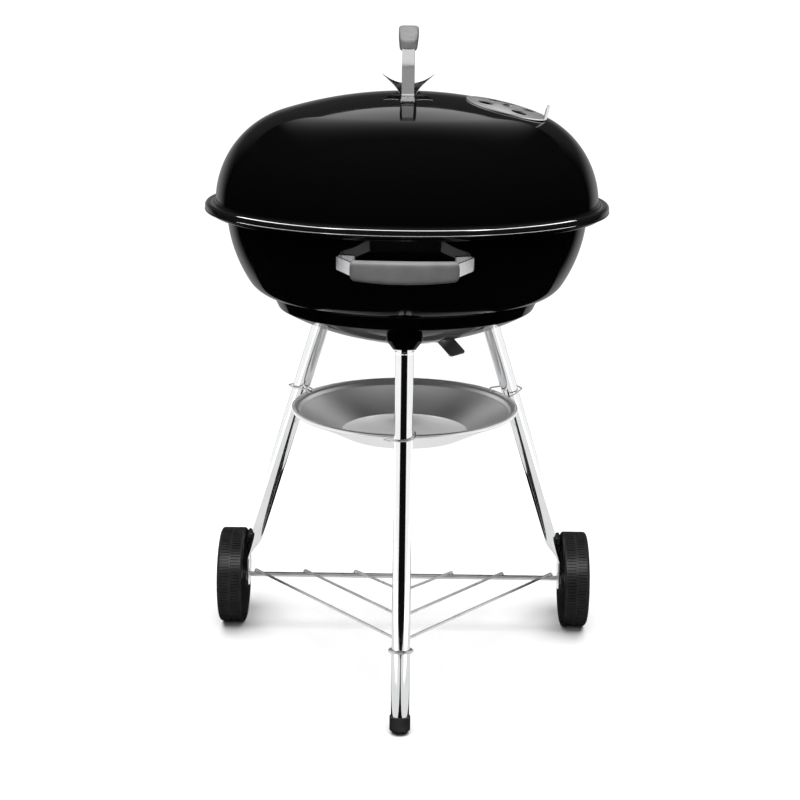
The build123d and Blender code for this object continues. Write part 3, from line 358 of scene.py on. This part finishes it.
# %% Ash pan
PAN_RADIUS = 168.0
PAN_RIM_Z = 405.0
PAN_FLOOR_RADIUS = 94.0
PAN_FLOOR_Z = PAN_RIM_Z - 40.0
PAN_SHEET = 1.3
PAN_ROLL = 3.2
roll_centre = (PAN_RADIUS - PAN_ROLL, PAN_RIM_Z - PAN_ROLL)
under_edge = (PAN_RADIUS - 13, PAN_RIM_Z - 10)
under_floor = (PAN_FLOOR_RADIUS, PAN_FLOOR_Z - PAN_SHEET)
inner_floor = (PAN_FLOOR_RADIUS - 0.6, PAN_FLOOR_Z)
inner_edge = (under_edge[0] - 1.2, under_edge[1] + PAN_SHEET)
inner_step = (under_edge[0] + 2.6, PAN_RIM_Z - 4.6)
roll = arc(roll_centre, PAN_ROLL, -115, 150, 0.8)
pan_profile = chained(
    [line((0, under_floor[1]), under_floor), line(under_floor, under_edge), line(under_edge, roll[0], 1),
     roll, line(roll[-1], inner_step, 1), line(inner_step, inner_edge, 1),
     line(inner_edge, inner_floor), line(inner_floor, (0, PAN_FLOOR_Z))],
    (4, 4, 0, 0, 1.5, 2.5, 2.5),
)
pan = make_piece("spun_ash_pan", *turned(pan_profile, 288), 60)
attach(pan, "grill")
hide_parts("ash_pan")
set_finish(pan, "aluminium")

# %% [markdown]
# ## Wheels
# Each wheel is one black moulding with 96 tread bars in two staggered rows and a smooth rib between
# them. Cutting the bars one by one would be slow, so the tread is part of the surface's own formula:
# the distance from the axle drops by the groove's depth wherever a groove wave is on. The same idea
# raises ten stiffening ribs on the web.

# %% Wheel surface
WHEEL_RADIUS = 76.2
WHEEL_HALF = 20.0
HUB_RADIUS = 15.0
BAND_RADIUS = 63.2
WEB_HALF = 4.0
BARS = 96
GROOVE_DEPTH = 1.5
WEB_RIBS = 10
RIB_HEIGHT = 5.0


def wave(turn, count, shift, width, ramp):
    """1 over a share of each period and 0 elsewhere, with short ramps. turn is in whole turns."""
    distance = np.abs((turn * count + shift + 0.5) % 1 - 0.5)
    return np.clip((width / 2 + ramp - distance) / ramp, 0, 1)


def wheel_section():
    """Closed section of a wheel, as (distance from the axle, place along it), anticlockwise."""
    bore = 4.2
    shoulder = 4.5
    half = WHEEL_HALF
    tread = [-15.3, -14.9, -1.9, -1.5, 1.5, 1.9, 14.9, 15.3]
    lower = arc((WHEEL_RADIUS - shoulder, -half + shoulder), shoulder, -90, -4, 1.4)
    upper = lower[::-1] * [1, -1]
    rows = [
        [(bore, -half), (HUB_RADIUS - 1, -half), (HUB_RADIUS, -half + 1), (HUB_RADIUS + 1, -WEB_HALF - 1)],
        [(HUB_RADIUS + 3, -WEB_HALF), (HUB_RADIUS + 4, -WEB_HALF), (BAND_RADIUS - 5, -WEB_HALF)],
        [(BAND_RADIUS - 4, -WEB_HALF), (BAND_RADIUS - 1, -WEB_HALF - 1)],
        [(BAND_RADIUS, -half + 2), (BAND_RADIUS + 1.5, -half)],
        lower,
        [(WHEEL_RADIUS, a) for a in tread],
        upper,
        [(BAND_RADIUS + 1.5, half), (BAND_RADIUS, half - 2)],
        [(BAND_RADIUS - 1, WEB_HALF + 1), (BAND_RADIUS - 4, WEB_HALF), (BAND_RADIUS - 5, WEB_HALF)],
        [(HUB_RADIUS + 4, WEB_HALF), (HUB_RADIUS + 3, WEB_HALF), (HUB_RADIUS + 1, WEB_HALF + 1)],
        [(HUB_RADIUS, half - 1), (HUB_RADIUS - 1, half), (bore, half), (bore, -half)],
    ]
    return np.vstack([np.array(row, float) for row in rows])


def make_wheel(name, side, node, body):
    """Turn the section about the axle. Radius and width each have a wave added, as told above."""
    section = wheel_section()
    radius, along = section[:, 0, None], section[:, 1, None]
    turn = np.linspace(0, 1, BARS * 12 + 1)
    grooves = np.where(along < 0, wave(turn, BARS, 0, 0.34, 0.08), wave(turn, BARS, 0.5, 0.34, 0.08))
    in_tread = (radius > WHEEL_RADIUS - 0.1) & (np.abs(along) > 1.8) & (np.abs(along) < 15.0)
    on_web = (radius > HUB_RADIUS + 3.5) & (radius < BAND_RADIUS - 4.5)
    ribs = wave(turn, WEB_RIBS, 0.25, 0.16, 0.06) * RIB_HEIGHT * np.sign(along)
    distance = (radius - GROOVE_DEPTH * grooves * in_tread) * MM
    place = (along + ribs * on_web) * MM
    angle = 2 * math.pi * np.where(turn == 1, 0, turn)
    low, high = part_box(node)
    middle = (low + high) / 2
    points = np.stack(
        np.broadcast_arrays(
            middle.x + side * place,
            middle.y + side * distance * np.cos(angle),
            middle.z + distance * np.sin(angle),
        ),
        axis=-1,
    ).reshape(-1, 3)
    uv = np.stack(np.broadcast_arrays(turn[None, :], along * MM), axis=-1).reshape(-1, 2)
    piece = make_piece(name, points, grid_cells(len(section), len(turn)), uv, 30)
    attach(piece, body)
    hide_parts(node)
    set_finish(piece, "black_plastic")
    return piece


wheels = [
    make_wheel("left_tread_wheel", -1, "left_wheel", "left_wheel"),
    make_wheel("right_tread_wheel", 1, "right_wheel", "right_wheel"),
]

# %% [markdown]
# ## Legs
# The legs are chromed 25.4 mm tube. Each is a stack of level slices: a slice through a leaning tube is
# an ellipse, longer in the direction of the lean by 1 / cos(lean). A small bump in the radius is the
# ring pressed in under the socket. The rear legs are squeezed flat and bent upright at the axle, so
# their slices blend into a thin upright ellipse there.

# %% Leg surface
TUBE_RADIUS = 12.7
LEG_TOP_Z = 526.0
COLLAR_DROP = 2.5
TAB_TOP_Z = 108.0
SQUEEZE_Z = 142.0


def make_leg(name, node, azimuth, top_reach, low_reach, low_z, top_z, end_z, flattened):
    """Level slices from the socket down; each slice's points are centre + radius x direction."""
    toward = np.array([math.cos(math.radians(azimuth)), math.sin(math.radians(azimuth))])
    per_height = (low_reach - top_reach) / (LEG_TOP_Z - low_z)
    heights = np.concatenate(
        [np.arange(top_z, LEG_TOP_Z - 18, -0.8), np.linspace(LEG_TOP_Z - 18, end_z + 34, 30),
         np.linspace(end_z + 33, end_z, 40)]
    )
    if flattened:
        heights = np.concatenate(
            [np.arange(top_z, LEG_TOP_Z - 18, -0.8), np.linspace(LEG_TOP_Z - 18, SQUEEZE_Z, 24),
             np.linspace(SQUEEZE_Z - 1.5, TAB_TOP_Z - 8, 26), np.linspace(TAB_TOP_Z - 9, end_z, 36)]
        )
    heights = heights[:, None]
    turn = np.linspace(0, 2 * math.pi, 65)
    turn[-1] = 0
    circle = np.stack([np.cos(turn), np.sin(turn)], axis=-1)
    stretch = math.sqrt(1 + per_height ** 2) - 1
    ellipse = circle + stretch * (circle @ toward)[:, None] * toward
    drop = (heights - (LEG_TOP_Z - COLLAR_DROP)) / 1.6
    radius = TUBE_RADIUS + 0.8 * np.exp(-(drop ** 2))
    reach = top_reach + (LEG_TOP_Z - heights) * per_height
    flat_radius = np.zeros_like(heights)
    if flattened:
        reach = np.minimum(reach, low_reach)
        down = np.clip((end_z + 15 - heights) / 15, 0, 1)
        flat_radius = np.sqrt(np.clip(1 - down ** 2, 0, 1))
    share = np.clip((SQUEEZE_Z - heights) / (SQUEEZE_Z - TAB_TOP_Z), 0, 1) * flattened
    share = (share * share * (3 - 2 * share))[:, :, None]
    tab = circle[None] * np.array([2.5, 15.0]) * np.concatenate(
        [np.sqrt(flat_radius)[:, :, None], flat_radius[:, :, None]], axis=2
    )
    outline = (1 - share) * radius[:, :, None] * ellipse[None] + share * tab
    centre = reach[:, :, None] * toward
    flat = centre + outline
    ends = [centre[:1] + 0 * flat[:1], flat, centre[-1:] + 0 * flat[-1:]]
    level = np.concatenate([heights[:1], heights, heights[-1:]])
    flat = np.concatenate(ends)[::-1]
    level = level[::-1]
    points = np.concatenate(
        [flat, np.broadcast_to(level[:, :, None], flat.shape[:2] + (1,))], axis=2
    ).reshape(-1, 3) * MM + [0, AXIS_Y, 0]
    uv = np.stack(
        np.broadcast_arrays(np.linspace(0, 1, 65)[None, :], level * MM), axis=-1
    ).reshape(-1, 2)
    piece = make_piece(name, points, grid_cells(len(level), 65)[:, ::-1], uv, 50)
    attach(piece, "grill")
    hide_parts(node)
    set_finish(piece, "chrome")
    return piece


legs = [
    make_leg("front_tube", "front_leg", -90, 166, 258, 0, 533, 9, False),
    make_leg("left_tube", "left_rear_leg", 150, 143, 291, TAB_TOP_Z, 529, 58.4, True),
    make_leg("right_tube", "right_rear_leg", 30, 143, 291, TAB_TOP_Z, 529, 58.4, True),
]

# %% [markdown]
# ## Grips
# Both grips come from one mould: 138 mm long, bowed, wider in the middle, with softly squared
# sections and pillowed ends. The section is a superellipse, |x|^n + |y|^n = 1 with n = 5.5, and its
# size follows the length so that the ends close in a round nose.

# %% Grip surface
GRIP_LENGTH = 138.0
GRIP_DEPTH = 19.0
GRIP_RISE = 16.0


def grip_points(rows=72, columns=64):
    """Grip along X in millimetres, its width on Y and its outer face on +Z at the grip's rise.
    The centre line is an arc-like bow, rise x (1 - s^2); the section shrinks by (1 - |s|^36)^(1/2.6)."""
    s = np.sin(np.sin(np.linspace(-math.pi / 2, math.pi / 2, rows)) * math.pi / 2)
    s[0], s[-1] = -1, 1
    turn = np.linspace(0, 2 * math.pi, columns + 1)
    turn[-1] = 0
    power = 2 / 5.5
    across = np.sign(np.cos(turn)) * np.abs(np.cos(turn)) ** power
    out = np.sign(np.sin(turn)) * np.abs(np.sin(turn)) ** power
    nose = (1 - np.abs(s) ** 36) ** (1 / 2.6)
    half_width = (14 - 2 * s ** 2) * nose
    half_depth = GRIP_DEPTH / 2 * nose
    middle = GRIP_RISE * (1 - s ** 2) - GRIP_DEPTH / 2
    x = np.broadcast_to((s * GRIP_LENGTH / 2)[:, None], (rows, columns + 1))
    y = half_width[:, None] * across
    z = middle[:, None] + half_depth[:, None] * out
    return np.stack([x, y, z], axis=-1).reshape(-1, 3), grid_cells(rows, columns + 1)


def make_grip(name, node, body, along, outward):
    """Place the grip: its length, width and outer face turned to the given directions."""
    points, cells = grip_points()
    along, outward = np.array(along, float), np.array(outward, float)
    width = np.cross(outward, along)
    low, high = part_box(node)
    middle = np.array((low + high) / 2)
    face = np.array(high if outward.sum() > 0 else low)
    origin = np.where(outward != 0, face, middle) - outward * GRIP_RISE * MM
    placed = origin + MM * (points[:, :1] * along + points[:, 1:2] * width + points[:, 2:] * outward)
    piece = make_piece(name, placed, cells[:, ::-1], None, 60)
    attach(piece, body)
    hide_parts(node)
    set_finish(piece, "grip_plastic")
    return piece


grips = [
    make_grip("lid_grip", "lid_handle_grip", "lid", (0, 1, 0), (0, 0, 1)),
    make_grip("bowl_grip", "bowl_handle_grip", "grill", (1, 0, 0), (0, -1, 0)),
]

# %% [markdown]
# # Finishes
# Each finish is a Principled shader with small variations driven by noise on Object coordinates, so
# the pattern is fixed to the piece. Numbers that are the same all over are set straight on the shader.

# %% Shader helpers
def finish_base(name, metallic, ior=1.5, coat=0.0, anisotropic=0.0):
    """A new material and its node tree, shader and Object coordinates."""
    material = bpy.data.materials.new(name)
    material.use_nodes = True
    tree = material.node_tree
    shader = tree.nodes["Principled BSDF"]
    shader.inputs["Metallic"].default_value = metallic
    shader.inputs["IOR"].default_value = ior
    shader.inputs["Coat Weight"].default_value = coat
    shader.inputs["Coat Roughness"].default_value = 0.03
    shader.inputs["Anisotropic"].default_value = anisotropic
    place = tree.nodes.new("ShaderNodeTexCoord").outputs["Object"]
    return material, tree, shader, place


def noise(tree, place, scale, detail=3.0, stretch=(1, 1, 1), centre=(0, 0, 0)):
    """Noise on the given coordinates; stretch makes the grain longer or finer along an axis."""
    mapping = tree.nodes.new("ShaderNodeMapping")
    mapping.inputs["Scale"].default_value = stretch
    mapping.inputs["Location"].default_value = centre
    tree.links.new(place, mapping.inputs["Vector"])
    texture = tree.nodes.new("ShaderNodeTexNoise")
    texture.inputs["Scale"].default_value = scale
    texture.inputs["Detail"].default_value = detail
    tree.links.new(mapping.outputs["Vector"], texture.inputs["Vector"])
    return texture.outputs["Fac"]


def between(tree, value, low, high, start=0.3, end=0.7):
    """Map a noise value to a number between low and high."""
    node = tree.nodes.new("ShaderNodeMapRange")
    node.inputs["From Min"].default_value = start
    node.inputs["From Max"].default_value = end
    node.inputs["To Min"].default_value = low
    node.inputs["To Max"].default_value = high
    tree.links.new(value, node.inputs["Value"])
    return node.outputs["Result"]


def colour_between(tree, value, dark, light):
    """Mix two colours by a noise value."""
    mix = tree.nodes.new("ShaderNodeMix")
    mix.data_type = "RGBA"
    mix.inputs["A"].default_value = (*dark, 1)
    mix.inputs["B"].default_value = (*light, 1)
    tree.links.new(value, mix.inputs["Factor"])
    return mix.outputs["Result"]


def bump(tree, shader, height, depth, strength=1.0):
    """Raise the surface by a height pattern, depth metres high."""
    node = tree.nodes.new("ShaderNodeBump")
    node.inputs["Strength"].default_value = strength
    node.inputs["Distance"].default_value = depth
    tree.links.new(height, node.inputs["Height"])
    tree.links.new(node.outputs["Normal"], shader.inputs["Normal"])


# %% [markdown]
# ## Vitreous enamel
# Enamel is black glass fused to steel. It's almost a mirror, but never perfectly flat: a slow
# ripple of a few centimetres bends reflections a little, and a very fine one softens them.

# %% Enamel
def make_enamel():
    """Black glass: a slow noise for the ripple and its roughness, a fine one for the tint."""
    material, tree, shader, place = finish_base("black_enamel_finish", 0.0, 1.5)
    slow = noise(tree, place, 26, 2)
    fine = noise(tree, place, 900, 2)
    tree.links.new(between(tree, slow, 0.035, 0.075), shader.inputs["Roughness"])
    tint = colour_between(tree, between(tree, fine, 0, 1), (0.0012, 0.0012, 0.0014), (0.0022, 0.0022, 0.0024))
    tree.links.new(tint, shader.inputs["Base Color"])
    bump(tree, shader, slow, 0.00012, 0.6)
    return material


# %% [markdown]
# ## Chrome, zinc and bright wire
# Chrome keeps a mirror gloss with faint lengthwise polishing marks. Zinc plate is duller and mottled.
# The noise for chrome is squeezed along Z so that its marks run down the tube.

# %% Plated metals
def make_plated(name, dark, light, rough, grain, stretch, depth):
    """Plated metal: a cloud drives tint and roughness, and stretched marks drive the bump."""
    material, tree, shader, place = finish_base(name, 1.0)
    marks = noise(tree, place, grain, 4, stretch)
    cloud = noise(tree, place, 35, 3)
    tree.links.new(between(tree, cloud, *rough), shader.inputs["Roughness"])
    tint = colour_between(tree, between(tree, cloud, 0, 1), dark, light)
    tree.links.new(tint, shader.inputs["Base Color"])
    bump(tree, shader, marks, depth, 0.5)
    return material


# %% [markdown]
# ## Spun aluminium
# A spun pan is brushed in rings, which is what spreads its highlights into fans. Two things show that:
# the shader's anisotropy with a tangent that runs round Z, and fine rings in the bump, made with noise
# on the distance from the axis alone.

# %% Spun aluminium
def make_spun(name, colour, rough, anisotropic, ring_depth):
    """Spun metal: rings = noise(distance from the kettle's axis), with a tangent round Z."""
    material, tree, shader, place = finish_base(name, 1.0, anisotropic=anisotropic)
    centred = tree.nodes.new("ShaderNodeMapping")
    centred.inputs["Location"].default_value = (0, -AXIS_Y, 0)
    centred.inputs["Scale"].default_value = (1, 1, 0)
    tree.links.new(place, centred.inputs["Vector"])
    distance = tree.nodes.new("ShaderNodeVectorMath")
    distance.operation = "LENGTH"
    tree.links.new(centred.outputs["Vector"], distance.inputs[0])
    rings = tree.nodes.new("ShaderNodeTexNoise")
    rings.noise_dimensions = "1D"
    rings.inputs["Scale"].default_value = 420
    rings.inputs["Detail"].default_value = 3
    tree.links.new(distance.outputs["Value"], rings.inputs["W"])
    cloud = noise(tree, place, 30, 4)
    tree.links.new(between(tree, cloud, *rough), shader.inputs["Roughness"])
    darker = tuple(0.97 * c for c in colour)
    tint = colour_between(tree, between(tree, rings.outputs["Fac"], 0, 1), darker, colour)
    tree.links.new(tint, shader.inputs["Base Color"])
    tangent = tree.nodes.new("ShaderNodeTangent")
    tangent.direction_type = "RADIAL"
    tangent.axis = "Z"
    tree.links.new(tangent.outputs["Tangent"], shader.inputs["Tangent"])
    bump(tree, shader, rings.outputs["Fac"], ring_depth, 0.5)
    return material


# %% [markdown]
# ## Moulded plastic
# Moulds are spark-eroded, so the plastic copies a fine even grain. A little larger noise adds the
# scuffs that make the gloss uneven.

# %% Moulded plastic
def make_plastic(name, dark, light, rough, grain_depth):
    """Moulded plastic: scuffs drive tint and roughness, and a fine grain drives the bump."""
    material, tree, shader, place = finish_base(name, 0.0, 1.48)
    grain = noise(tree, place, 1600, 2)
    scuffs = noise(tree, place, 60, 5)
    tree.links.new(between(tree, scuffs, *rough), shader.inputs["Roughness"])
    tint = colour_between(tree, between(tree, scuffs, 0, 1), dark, light)
    tree.links.new(tint, shader.inputs["Base Color"])
    bump(tree, shader, grain, grain_depth, 0.6)
    return material


# %% Give every piece its finish
finishes = {
    "black_enamel": make_enamel(),
    "chrome": make_plated("chrome_finish", (0.86, 0.87, 0.88), (0.93, 0.93, 0.94), (0.03, 0.08), 300,
                          (1, 1, 0.03), 0.00002),
    "zinc_steel": make_plated("zinc_finish", (0.52, 0.52, 0.52), (0.66, 0.66, 0.65), (0.26, 0.38), 700,
                              (1, 1, 1), 0.00008),
    "plated_wire": make_plated("bright_wire_finish", (0.60, 0.60, 0.60), (0.74, 0.74, 0.74),
                               (0.12, 0.26), 500, (1, 1, 1), 0.00005),
    "bright_steel": make_plated("bright_sheet_finish", (0.76, 0.76, 0.77), (0.86, 0.86, 0.87),
                                (0.10, 0.20), 260, (1, 0.03, 1), 0.00003),
    "strap_steel": make_plated("strap_finish", (0.56, 0.56, 0.57), (0.68, 0.68, 0.69),
                               (0.20, 0.32), 420, (1, 0.05, 1), 0.00004),
    "aluminium": make_spun("spun_aluminium_finish", (0.88, 0.88, 0.88), (0.32, 0.36), 0.7, 0.000006),
    "grip_plastic": make_plastic("grip_plastic_finish", (0.120, 0.120, 0.122), (0.146, 0.146, 0.149),
                                 (0.40, 0.52), 0.00006),
    "black_plastic": make_plastic("black_plastic_finish", (0.012, 0.012, 0.012), (0.021, 0.021, 0.021),
                                  (0.28, 0.42), 0.00008),
}
node_slots = {part["node"]: part["material_slot"] for part in frame["record"]["subparts"]}
for node, obj in frame["nodes"].items():
    obj.data.materials.clear()
    obj.data.materials.append(finishes[node_slots[node]])
made = [lid, rim, hem, bowl, pan, *wheels, *legs, *grips]
for piece in made:
    piece.data.materials.append(finishes[piece["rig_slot"]])
print("finishes", len(finishes), "new pieces", len(made))

# %% [markdown]
# # Floor, light and camera
# The floor and the far background are plain white. A black mirror shows whatever stands around it, so
# the light is built for its reflections: one broad panel overhead whose light fades towards the front,
# and a low one behind that draws a thin grey edge on both sides of the kettle.

# %% Floor and world
def flat_sheet(name, corners):
    """One quad with the given corners."""
    mesh = bpy.data.meshes.new(name)
    mesh.from_pydata([tuple(corner) for corner in corners], [], [(0, 1, 2, 3)])
    sheet = bpy.data.objects.new(name, mesh)
    bpy.context.scene.collection.objects.link(sheet)
    return sheet


floor = flat_sheet("floor", [(-0.8, -0.5, 0), (0.8, -0.5, 0), (0.8, 1.0, 0), (-0.8, 1.0, 0)])
floor_finish, _, floor_shader, _ = finish_base("floor_finish", 0.0)
floor_shader.inputs["Base Color"].default_value = (0.93, 0.93, 0.93, 1)
floor_shader.inputs["Roughness"].default_value = 0.9
floor.data.materials.append(floor_finish)
floor.visible_glossy = False

world = bpy.data.worlds.new("studio")
bpy.context.scene.world = world
world.use_nodes = True
world_tree = world.node_tree
dark = world_tree.nodes["Background"]
dark.inputs["Color"].default_value = (0.004, 0.004, 0.004, 1)
white = world_tree.nodes.new("ShaderNodeBackground")
white.inputs["Color"].default_value = (1, 1, 1, 1)
white.inputs["Strength"].default_value = 1.1
chooser = world_tree.nodes.new("ShaderNodeMixShader")
ray = world_tree.nodes.new("ShaderNodeLightPath")
world_tree.links.new(ray.outputs["Is Camera Ray"], chooser.inputs["Fac"])
world_tree.links.new(dark.outputs["Background"], chooser.inputs[1])
world_tree.links.new(white.outputs["Background"], chooser.inputs[2])
world_tree.links.new(chooser.outputs["Shader"], world_tree.nodes["World Output"].inputs["Surface"])

# %% [markdown]
# ## Panels seen only in reflections
# An area lamp has hard edges, which would show as a bright box in the enamel. A mesh panel with an
# emission shader can fade out towards its sides, so these two are sheets hidden from the camera.

# %% Glowing panels
def smooth_fade(tree, value, start, stop, full, rest):
    """A number that goes smoothly from full at start to rest at stop."""
    result = between(tree, value, full, rest, start, stop)
    result.node.interpolation_type = "SMOOTHSTEP"
    return result


def glowing_panel(name, corners, side_fade, other_axis, other_fade):
    """A panel seen only in reflections. Its light fades with the distance sideways, |x|, and along
    another axis: strength = fade(|x|) x fade(other)."""
    panel = flat_sheet(name, corners)
    finish = bpy.data.materials.new(name + "_glow")
    finish.use_nodes = True
    tree = finish.node_tree
    tree.nodes.remove(tree.nodes["Principled BSDF"])
    glow = tree.nodes.new("ShaderNodeEmission")
    split = tree.nodes.new("ShaderNodeSeparateXYZ")
    tree.links.new(tree.nodes.new("ShaderNodeTexCoord").outputs["Object"], split.inputs["Vector"])
    sideways = tree.nodes.new("ShaderNodeMath")
    sideways.operation = "ABSOLUTE"
    tree.links.new(split.outputs["X"], sideways.inputs[0])
    product = tree.nodes.new("ShaderNodeMath")
    product.operation = "MULTIPLY"
    tree.links.new(smooth_fade(tree, sideways.outputs["Value"], *side_fade), product.inputs[0])
    tree.links.new(smooth_fade(tree, split.outputs[other_axis], *other_fade), product.inputs[1])
    tree.links.new(product.outputs["Value"], glow.inputs["Strength"])
    tree.links.new(glow.outputs["Emission"], tree.nodes["Material Output"].inputs["Surface"])
    panel.data.materials.append(finish)
    panel.visible_camera = False
    panel.visible_shadow = False
    return panel


PANEL_Z = 2.9
overhead = glowing_panel(
    "overhead_panel",
    [(-3, 4.05, PANEL_Z), (3, 4.05, PANEL_Z), (3, 0.0, PANEL_Z), (-3, 0.0, PANEL_Z)],
    (0.2, 1.9, 1.25, 0.0), "Y", (0.1, 4.6, 0.0, 1.0),
)
behind = glowing_panel(
    "low_back_panel",
    [(-3, 2.6, -1.0), (3, 2.6, -1.0), (3, 2.6, 2.3), (-3, 2.6, 2.3)],
    (1.5, 2.9, 0.36, 0.0), "Z", (0.5, 1.5, 1.0, 0.12),
)

# %% [markdown]
# ## Lamps
# Light linking keeps each lamp to the pieces it's meant for. The metal pieces get two white walls, and
# the dark gap between them at the front becomes the black line down each tube; two lamps near the
# floor carry that line to the foot. Three strips draw the bright lines along the lid's rim. The pan and
# the bowl's damper hang in the bowl's shadow, so their three lamps also use shadow linking to shine
# past it. The ceiling and the front fill light everything, and aren't mirrored in anything.

# %% Lamps
def area_lamp(name, place, target, width, height, radiance, glossy=True):
    """A rectangular lamp that faces a target. Its watts are radiance x pi x width x height."""
    data = bpy.data.lights.new(name, "AREA")
    data.shape = "RECTANGLE"
    data.size = width
    data.size_y = height
    data.energy = radiance * math.pi * width * height
    lamp = bpy.data.objects.new(name, data)
    aim = (Vector(target) - Vector(place)).to_track_quat("-Z", "Y").to_matrix().to_4x4()
    lamp.matrix_world = Matrix.Translation(place) @ aim
    lamp.visible_camera = False
    lamp.visible_glossy = glossy
    bpy.context.scene.collection.objects.link(lamp)
    return lamp


def in_slots(*names):
    """Every shown piece whose material slot is one of these."""
    kept = [obj for node, obj in frame["nodes"].items() if node_slots[node] in names]
    return kept + [piece for piece in made if piece["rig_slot"] in names]


def light_only(source, receivers):
    """Light linking: the source lights, and is mirrored in, the receivers and nothing else."""
    group = bpy.data.collections.new(source.name + "_receivers")
    for obj in receivers:
        group.objects.link(obj)
    source.light_linking.receiver_collection = group


def shine_past(source, blockers):
    """Shadow linking: only the blockers cast the source's shadows, so it shines past everything else."""
    group = bpy.data.collections.new(source.name + "_blockers")
    for obj in blockers:
        group.objects.link(obj)
    source.light_linking.blocker_collection = group


enamelled = in_slots("black_enamel")
tubes = in_slots("chrome")
bright = in_slots("aluminium", "bright_steel", "strap_steel", "zinc_steel", "plated_wire")
light_only(overhead, enamelled)
light_only(behind, enamelled)
for side in (-1, 1):
    label = "left" if side < 0 else "right"
    wall = area_lamp(f"{label}_wall", (side * 1.35, 0.3, 1.0), (0, 0.3, 1.0), 4.2, 2.4, 1.0)
    light_only(wall, tubes + bright)
    low = area_lamp(f"{label}_low_light", (side * 0.84, -0.1, 0.002), (side * 0.84, -0.1, 1.0), 1.5, 3.0, 0.8)
    light_only(low, tubes)
    strip = area_lamp(f"{label}_rim_strip", (side * 2.2, -0.5, 2.4), (0, 0, 0.7), 4.0, 0.55, 30.0)
    light_only(strip, [rim, hem])
light_only(area_lamp("rim_strip", (0, -1.6, 2.6), (0, 0, 0.7), 4.0, 0.55, 42.0), [rim, hem])
light_only(area_lamp("metal_sky", (0, -0.6, 2.8), (0, 0.1, 0.4), 1.2, 3.6, 1.1), bright)
light_only(area_lamp("metal_front", (0, -2.9, 1.5), (0, 0, 0.7), 2.4, 1.4, 0.45), bright)
light_only(area_lamp("metal_floor", (0, 0.1, 0.002), (0, 0.1, 1.0), 3.0, 3.0, 0.85), bright)
light_only(area_lamp("metal_back", (0, 2.7, 1.2), (0, 0, 0.6), 2.0, 2.0, 1.0), bright)
pan_sky = area_lamp("pan_sky", (0, 0.5, 2.8), (0, 0.5, 0), 1.7, 2.4, 0.95)
pan_back = area_lamp("pan_back", (0, 2.7, 1.2), (0, 0, 0.6), 1.6, 2.0, 0.95)
tab_sky = area_lamp("tab_sky", (2.0, 1.9, 2.8), (0.1, 0, 0.5), 1.8, 1.8, 0.6)
for lamp, piece in ((pan_sky, pan), (pan_back, pan), (tab_sky, frame["nodes"]["bowl_damper"])):
    light_only(lamp, [piece])
    shine_past(lamp, [piece])
area_lamp("ceiling", (0, -0.2, 3.2), (0, 0.1, 0), 4.4, 4.4, 5.4, glossy=False)
area_lamp("front_fill", (0, -3.0, 2.2), (0, 0, 0.5), 2.5, 1.6, 1.6, glossy=False)
sheen = area_lamp("plastic_sheen", (0, -1.8, 2.6), (0, 0, 0.5), 2.6, 1.2, 4.0)
light_only(sheen, in_slots("black_plastic", "grip_plastic"))

# %% [markdown]
# ## Camera
# The lens is long, about 69 mm on a 36 mm sensor, and the camera stands 2.2 m in front at about the
# height of the lid, looking down by 15 degrees. Depth of field stays off.

# %% Camera
bpy.context.scene.view_settings.view_transform = "Standard"
LENS = 69.03
SENSOR_WIDTH = 36
CAMERA_PLACE = (0.01485, -2.1808, 0.9913)
CAMERA_TURN = 0.57
CAMERA_DOWN = 14.75
CAMERA_ROLL = 0.61
camera_data = bpy.data.cameras.new("camera")
camera_data.lens = LENS
camera_data.sensor_width = SENSOR_WIDTH
camera = bpy.data.objects.new("camera", camera_data)
turn_view = Matrix.Rotation(math.radians(CAMERA_TURN), 4, "Z")
tilt_view = Matrix.Rotation(math.radians(90 - CAMERA_DOWN), 4, "X")
roll_view = Matrix.Rotation(math.radians(CAMERA_ROLL), 4, "Z")
camera.matrix_world = Matrix.Translation(CAMERA_PLACE) @ turn_view @ tilt_view @ roll_view
bpy.context.scene.collection.objects.link(camera)
bpy.context.scene.camera = camera
